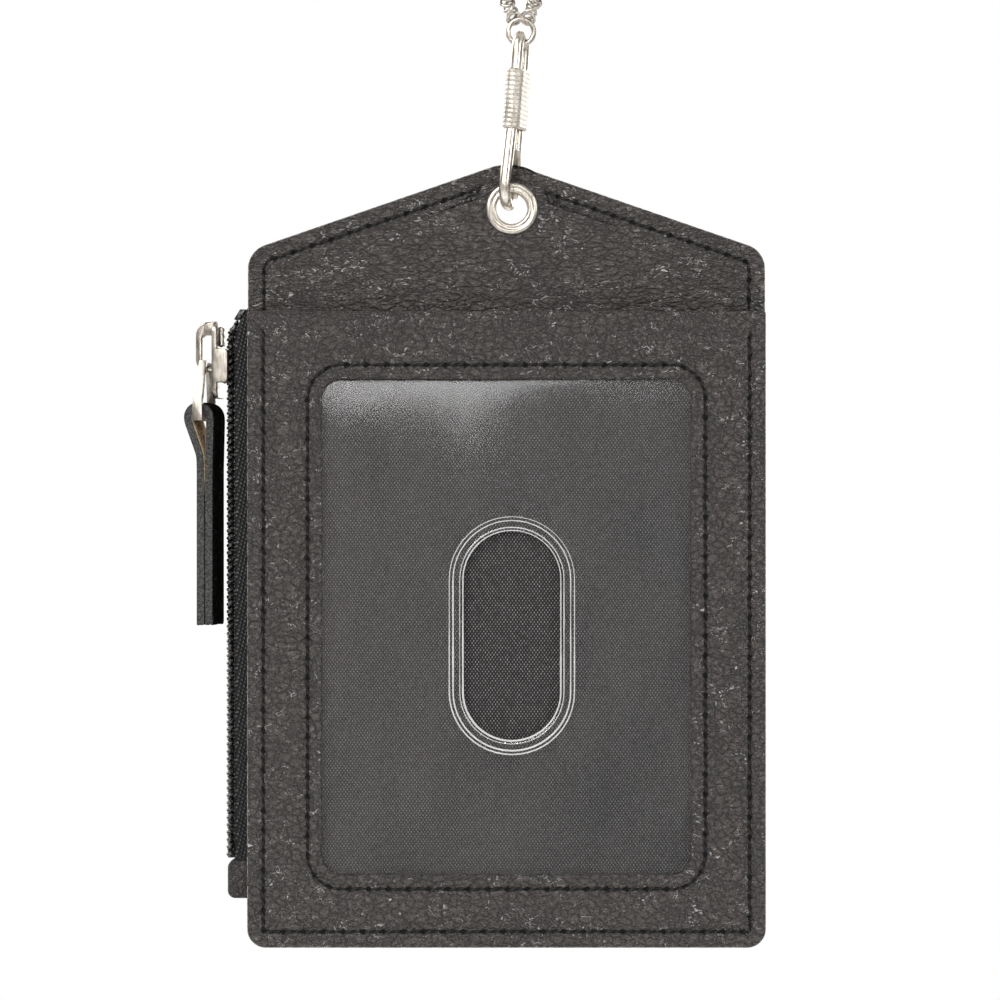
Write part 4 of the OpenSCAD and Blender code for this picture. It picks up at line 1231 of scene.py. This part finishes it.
class WALLET_OT_slider(bpy.types.Operator):
    """Slider with its bail, the pull link, and the zip's stops and end tab"""
    bl_idname = "wallet.slider"
    bl_label = "Slider and pull link"

    def execute(self, context):
        # The cast nickel is drawn darker than the other plated parts: painted shade on the slider, bail and link.
        cast, nylon = nickel("cast"), coil_nylon()
        bevel_copy("Slider", "slider_body", "slider", "nickel", cast, 0.18 * MM)
        bevel_copy("Bail", "slider_bail", "slider", "nickel", cast, 0.22 * MM)
        bevel_copy("Pull_link", "pull_link", "pull", "nickel", cast, 0.16 * MM)
        stops = bevel_copy("Top_stops", "zip_top_stops", "wallet", "coil", nylon, 0.12 * MM)
        moved = band_curl(np.array([v.co[:] for v in stops.data.vertices]))
        stops.data.vertices.foreach_set("co", moved.ravel())
        bevel_copy("Bottom_stop", "zip_bottom_stop", "wallet", "coil", nylon, 0.12 * MM)
        bevel_copy("Zip_end_tab", "zip_end_tab", "wallet", "leather_back", leather("trim"), 0.35 * MM, 4)
        return {"FINISHED"}


TAB_THICK = 1.2 * MM


class WALLET_OT_tab(bpy.types.Operator):
    """Leather pull tab: one strip folded round the link's bar, with uneven edges and a nicked foot"""
    bl_idname = "wallet.tab"
    bl_label = "Pull tab"

    def execute(self, context):
        low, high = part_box("pull_tab")
        foot, top = low[2] - FOOT_Z, high[2] - FOOT_Z
        loop_x, tab_x = -4.163 * MM, -3.248 * MM
        loop_r = 2.343 * MM
        loop_h = top - loop_r
        face, half_w, r = TAB_THICK / 2, 3.97 * MM, 0.16 * MM
        half, fold = face + 0.03 * MM, loop_h - 5.66 * MM
        bend = half + 0.05 * MM
        leg = [(half, foot), (half, fold - 2 * MM), (bend, fold)]
        ring = arc_points(loop_x, loop_h, loop_r - face, 190, -10, 30)
        line = [(tab_x - x, h) for x, h in leg] + ring + [(tab_x + x, h) for x, h in reversed(leg)]
        line = smooth_path(line, 0.25 * MM, 10)
        path = slider_point(line[:, 0], 0.0, line[:, 1])
        across = slider_point(0.0, 1.0, 0.0) - slider_point(0.0, 0.0, 0.0)

        flat = np.linspace(-half_w + r, half_w - r, 14)
        side = [(half_w - r * 0.3, face - r * 0.3, 0.2), (half_w, face - r, EDGE_UV)]
        side += [(half_w, y, EDGE_UV) for y in np.linspace(face - 2 * r, -face + 2 * r, 4)]
        side += [(half_w, -face + r, EDGE_UV), (half_w - r * 0.3, -face + r * 0.3, 0.7)]
        section = [(x, face, GRAIN_UV) for x in flat] + side + [(x, -face, FLESH_UV) for x in flat[::-1]]
        section = np.array(section + [(-x, y, v) for x, y, v in reversed(side)])
        grid = sweep(path, section[:, :2], across)
        rng = np.random.default_rng(3)
        fray = np.cumsum(rng.normal(0, 1, len(path)))
        fray = np.abs(fray - np.convolve(fray, np.ones(25) / 25, "same")) * 0.02 * MM
        edge = (np.abs(np.abs(section[:, 0]) - half_w) < 0.06 * MM) * np.sign(section[:, 0])
        grid = grid - across * (fray[:, None] * edge)[..., None]
        nicks = np.abs(rng.normal(0, 0.16 * MM, (2, len(section))))
        for row, share in ((0, 1.0), (1, 0.6), (2, 0.3)):
            grid[row, :, 2] += share * nicks[0]
            grid[-1 - row, :, 2] += share * nicks[1]
        uv = np.broadcast_arrays(section[:, 2], np.linspace(0, 1, len(path))[:, None])
        tab = capped_grid("Pull_tab", grid, tab_leather(), uv=np.stack(uv, axis=-1))
        finish_piece(tab, "tab", "leather_tab", "pull_tab")
        return {"FINISHED"}


class WALLET_OT_solids(bpy.types.Operator):
    """Finishes for the solids that are shown as they are: lining, gusset and spring"""
    bl_idname = "wallet.solids"
    bl_label = "Plain solids"

    def execute(self, context):
        finishes = {"pocket_lining": woven("lining"), "gusset": leather("back"), "gate_spring": nickel("satin")}
        for node, material in finishes.items():
            for slot in bpy.data.objects[node].material_slots:
                slot.material = material
        return {"FINISHED"}


# Floor, light and camera

VIEW_WIDTH, AWAY = 0.148, 0.68
WARM = (1.0, 0.985, 0.96)
WHITE = (1, 1, 1, 1)
# Each lamp's name, place from the body's middle, width and height, power and colour
LAMPS = (
    ("Key", (-0.55, -0.75, 0.60), (0.7, 0.7), 10.6, WARM),
    ("Fill", (0.72, -0.6, 0.28), (0.4, 0.5), 3.2, (0.97, 0.98, 1.0)),
    ("Glare", (-0.03, -0.72, 0.155), (0.26, 0.11), 0.36, WHITE[:3]),
    ("Glare_top", (-0.03, -0.71, 0.21), (0.22, 0.07), 0.80, WHITE[:3]),
    ("Rim", (-0.5, 0.5, 0.35), (0.5, 0.6), 3.6, WHITE[:3]),
    ("Back_fill", (0.35, 0.7, 0.3), (0.7, 0.7), 5.0, WHITE[:3]),
)


def area_lamp(name, place, size, power, color, target):
    """A rectangular lamp at a place from its target, aimed at it."""
    data = bpy.data.lights.new(name, "AREA")
    data.shape = "RECTANGLE"
    data.size, data.size_y = size
    data.energy, data.color = power, color
    lamp = bpy.data.objects.new(name, data)
    bpy.context.scene.collection.objects.link(lamp)
    lamp.location = target + np.array(place)
    lamp.rotation_euler = (-Vector(place)).to_track_quat("-Z", "Y").to_euler()


def studio():
    """Surroundings: white to the camera and through the clear sheet, a soft grey as light, and a room in mirrors.

    The room is a sine band that slants up, brighter behind the wallet than before it, and warmer where it
    is dim, with noise clouds right in front.
    """
    world = bpy.data.worlds.new("Studio")
    world.use_nodes = True
    t = Tree(world.node_tree)
    world.node_tree.nodes.clear()
    ray = t.node("LightPath").outputs
    shown = t.math("MAXIMUM", ray["Is Camera Ray"], ray["Is Transmission Ray"])
    aim = t.node("TexCoord").outputs["Generated"]
    x, y, z = t.split(aim)
    band = t.math("SINE", t.times_add(z, 7.0, t.times(x, 4.0)))
    level = t.times_add(t.spread(band, -0.5, 0.8), 0.42, t.spread(y, -0.9, 0.4, 0.0, 0.35))
    tone = t.mix(t.spread(level, 0.0, 0.7), (0.62, 0.52, 0.42, 1), (*WARM, 1))
    cloud = t.times(t.spread(t.noise(aim, 6.5, 1.0), 0.38, 0.64), t.spread(y, -0.80, -0.94))
    level = t.times_add(cloud, 0.50, t.times(level, t.spread(y, -1.0, -0.7, 0.25, 1.0)))
    tone = t.mix(cloud, tone, (1.0, 0.80, 0.68, 1))
    soft = t.node("Background", {"Color": (0.97, 0.97, 1.0, 1), "Strength": 0.40}).outputs[0]
    mirror = t.node("Background", {"Color": tone, "Strength": t.math("ADD", level, 0.10)}).outputs[0]
    white = t.node("Background", {"Color": WHITE, "Strength": 1.0}).outputs[0]
    light = t.node("MixShader", {0: ray["Is Glossy Ray"], 1: soft, 2: mirror}).outputs[0]
    t.node("OutputWorld", {"Surface": t.node("MixShader", {0: shown, 1: light, 2: white}).outputs[0]})
    return world


class WALLET_OT_stage(bpy.types.Operator):
    """Pale floor well below the wallet, white surroundings, soft lamps and the camera"""
    bl_idname = "wallet.stage"
    bl_label = "Stage"

    def execute(self, context):
        scene = context.scene
        scene.view_settings.view_transform = "Standard"
        scene.world = studio()
        middle = body_point(-0.96 * MM, PANEL_LOW[1], 66.3 * MM)
        for lamp in LAMPS:
            area_lamp(*lamp, middle)

        turn = np.linspace(0, 2 * np.pi, 96, endpoint=False)
        rings = np.array([0.0, 0.2, 0.4, 0.58])[:, None]
        points = np.stack([rings * np.cos(turn), rings * np.sin(turn), np.full((4, 96), FOOT_Z - 0.075)], axis=-1)
        t, place = new_material(
            "pale floor", Base_Color=(0.93, 0.93, 0.93, 1), Roughness=0.9, Emission_Color=WHITE)
        glow = t.node("LightPath").outputs["Is Camera Ray"]
        reach = t.node("VectorMath", {0: place}, operation="LENGTH").outputs["Value"]
        pale = finish_material(t, Emission_Strength=t.times(glow, 0.45), Alpha=t.spread(reach, 0.34, 0.60, 1.0, 0.0))
        grid_piece("Floor", points, pale)

        data = bpy.data.cameras.new("Camera")
        data.sensor_width = 36
        data.lens = 36 * AWAY / VIEW_WIDTH
        data.clip_start, data.clip_end = 0.01, 20
        camera = bpy.data.objects.new("Camera", data)
        scene.collection.objects.link(camera)
        camera.location = middle + np.array([0, -AWAY, 0])
        camera.rotation_euler = (math.pi / 2, 0, 0)
        scene.camera = camera
        return {"FINISHED"}


class WALLET_PT_panel(bpy.types.Panel):
    """Panel with one button for each piece"""
    bl_idname = "WALLET_PT_panel"
    bl_label = "Badge wallet"
    bl_space_type = "VIEW_3D"
    bl_region_type = "UI"
    bl_category = "Wallet"

    def draw(self, context):
        for name in WalletSettings.__annotations__:
            self.layout.prop(context.scene.wallet_settings, name)
        for operator in OPERATORS:
            self.layout.operator(operator.bl_idname)


OPERATORS = (
    WALLET_OT_front_panel, WALLET_OT_header, WALLET_OT_rear, WALLET_OT_window, WALLET_OT_zip, WALLET_OT_eyelet,
    WALLET_OT_hook, WALLET_OT_chain, WALLET_OT_slider, WALLET_OT_tab, WALLET_OT_solids, WALLET_OT_stage,
)


def register():
    for cls in (WalletSettings, *OPERATORS, WALLET_PT_panel):
        bpy.utils.register_class(cls)
    bpy.types.Scene.wallet_settings = PointerProperty(type=WalletSettings)


def unregister():
    del bpy.types.Scene.wallet_settings
    for cls in (WALLET_PT_panel, *reversed(OPERATORS), WalletSettings):
        bpy.utils.unregister_class(cls)


def main():
    register()
    for operator in OPERATORS:
        group, name = operator.bl_idname.split(".")
        getattr(getattr(bpy.ops, group), name)()


if __name__ == "__main__":
    main()
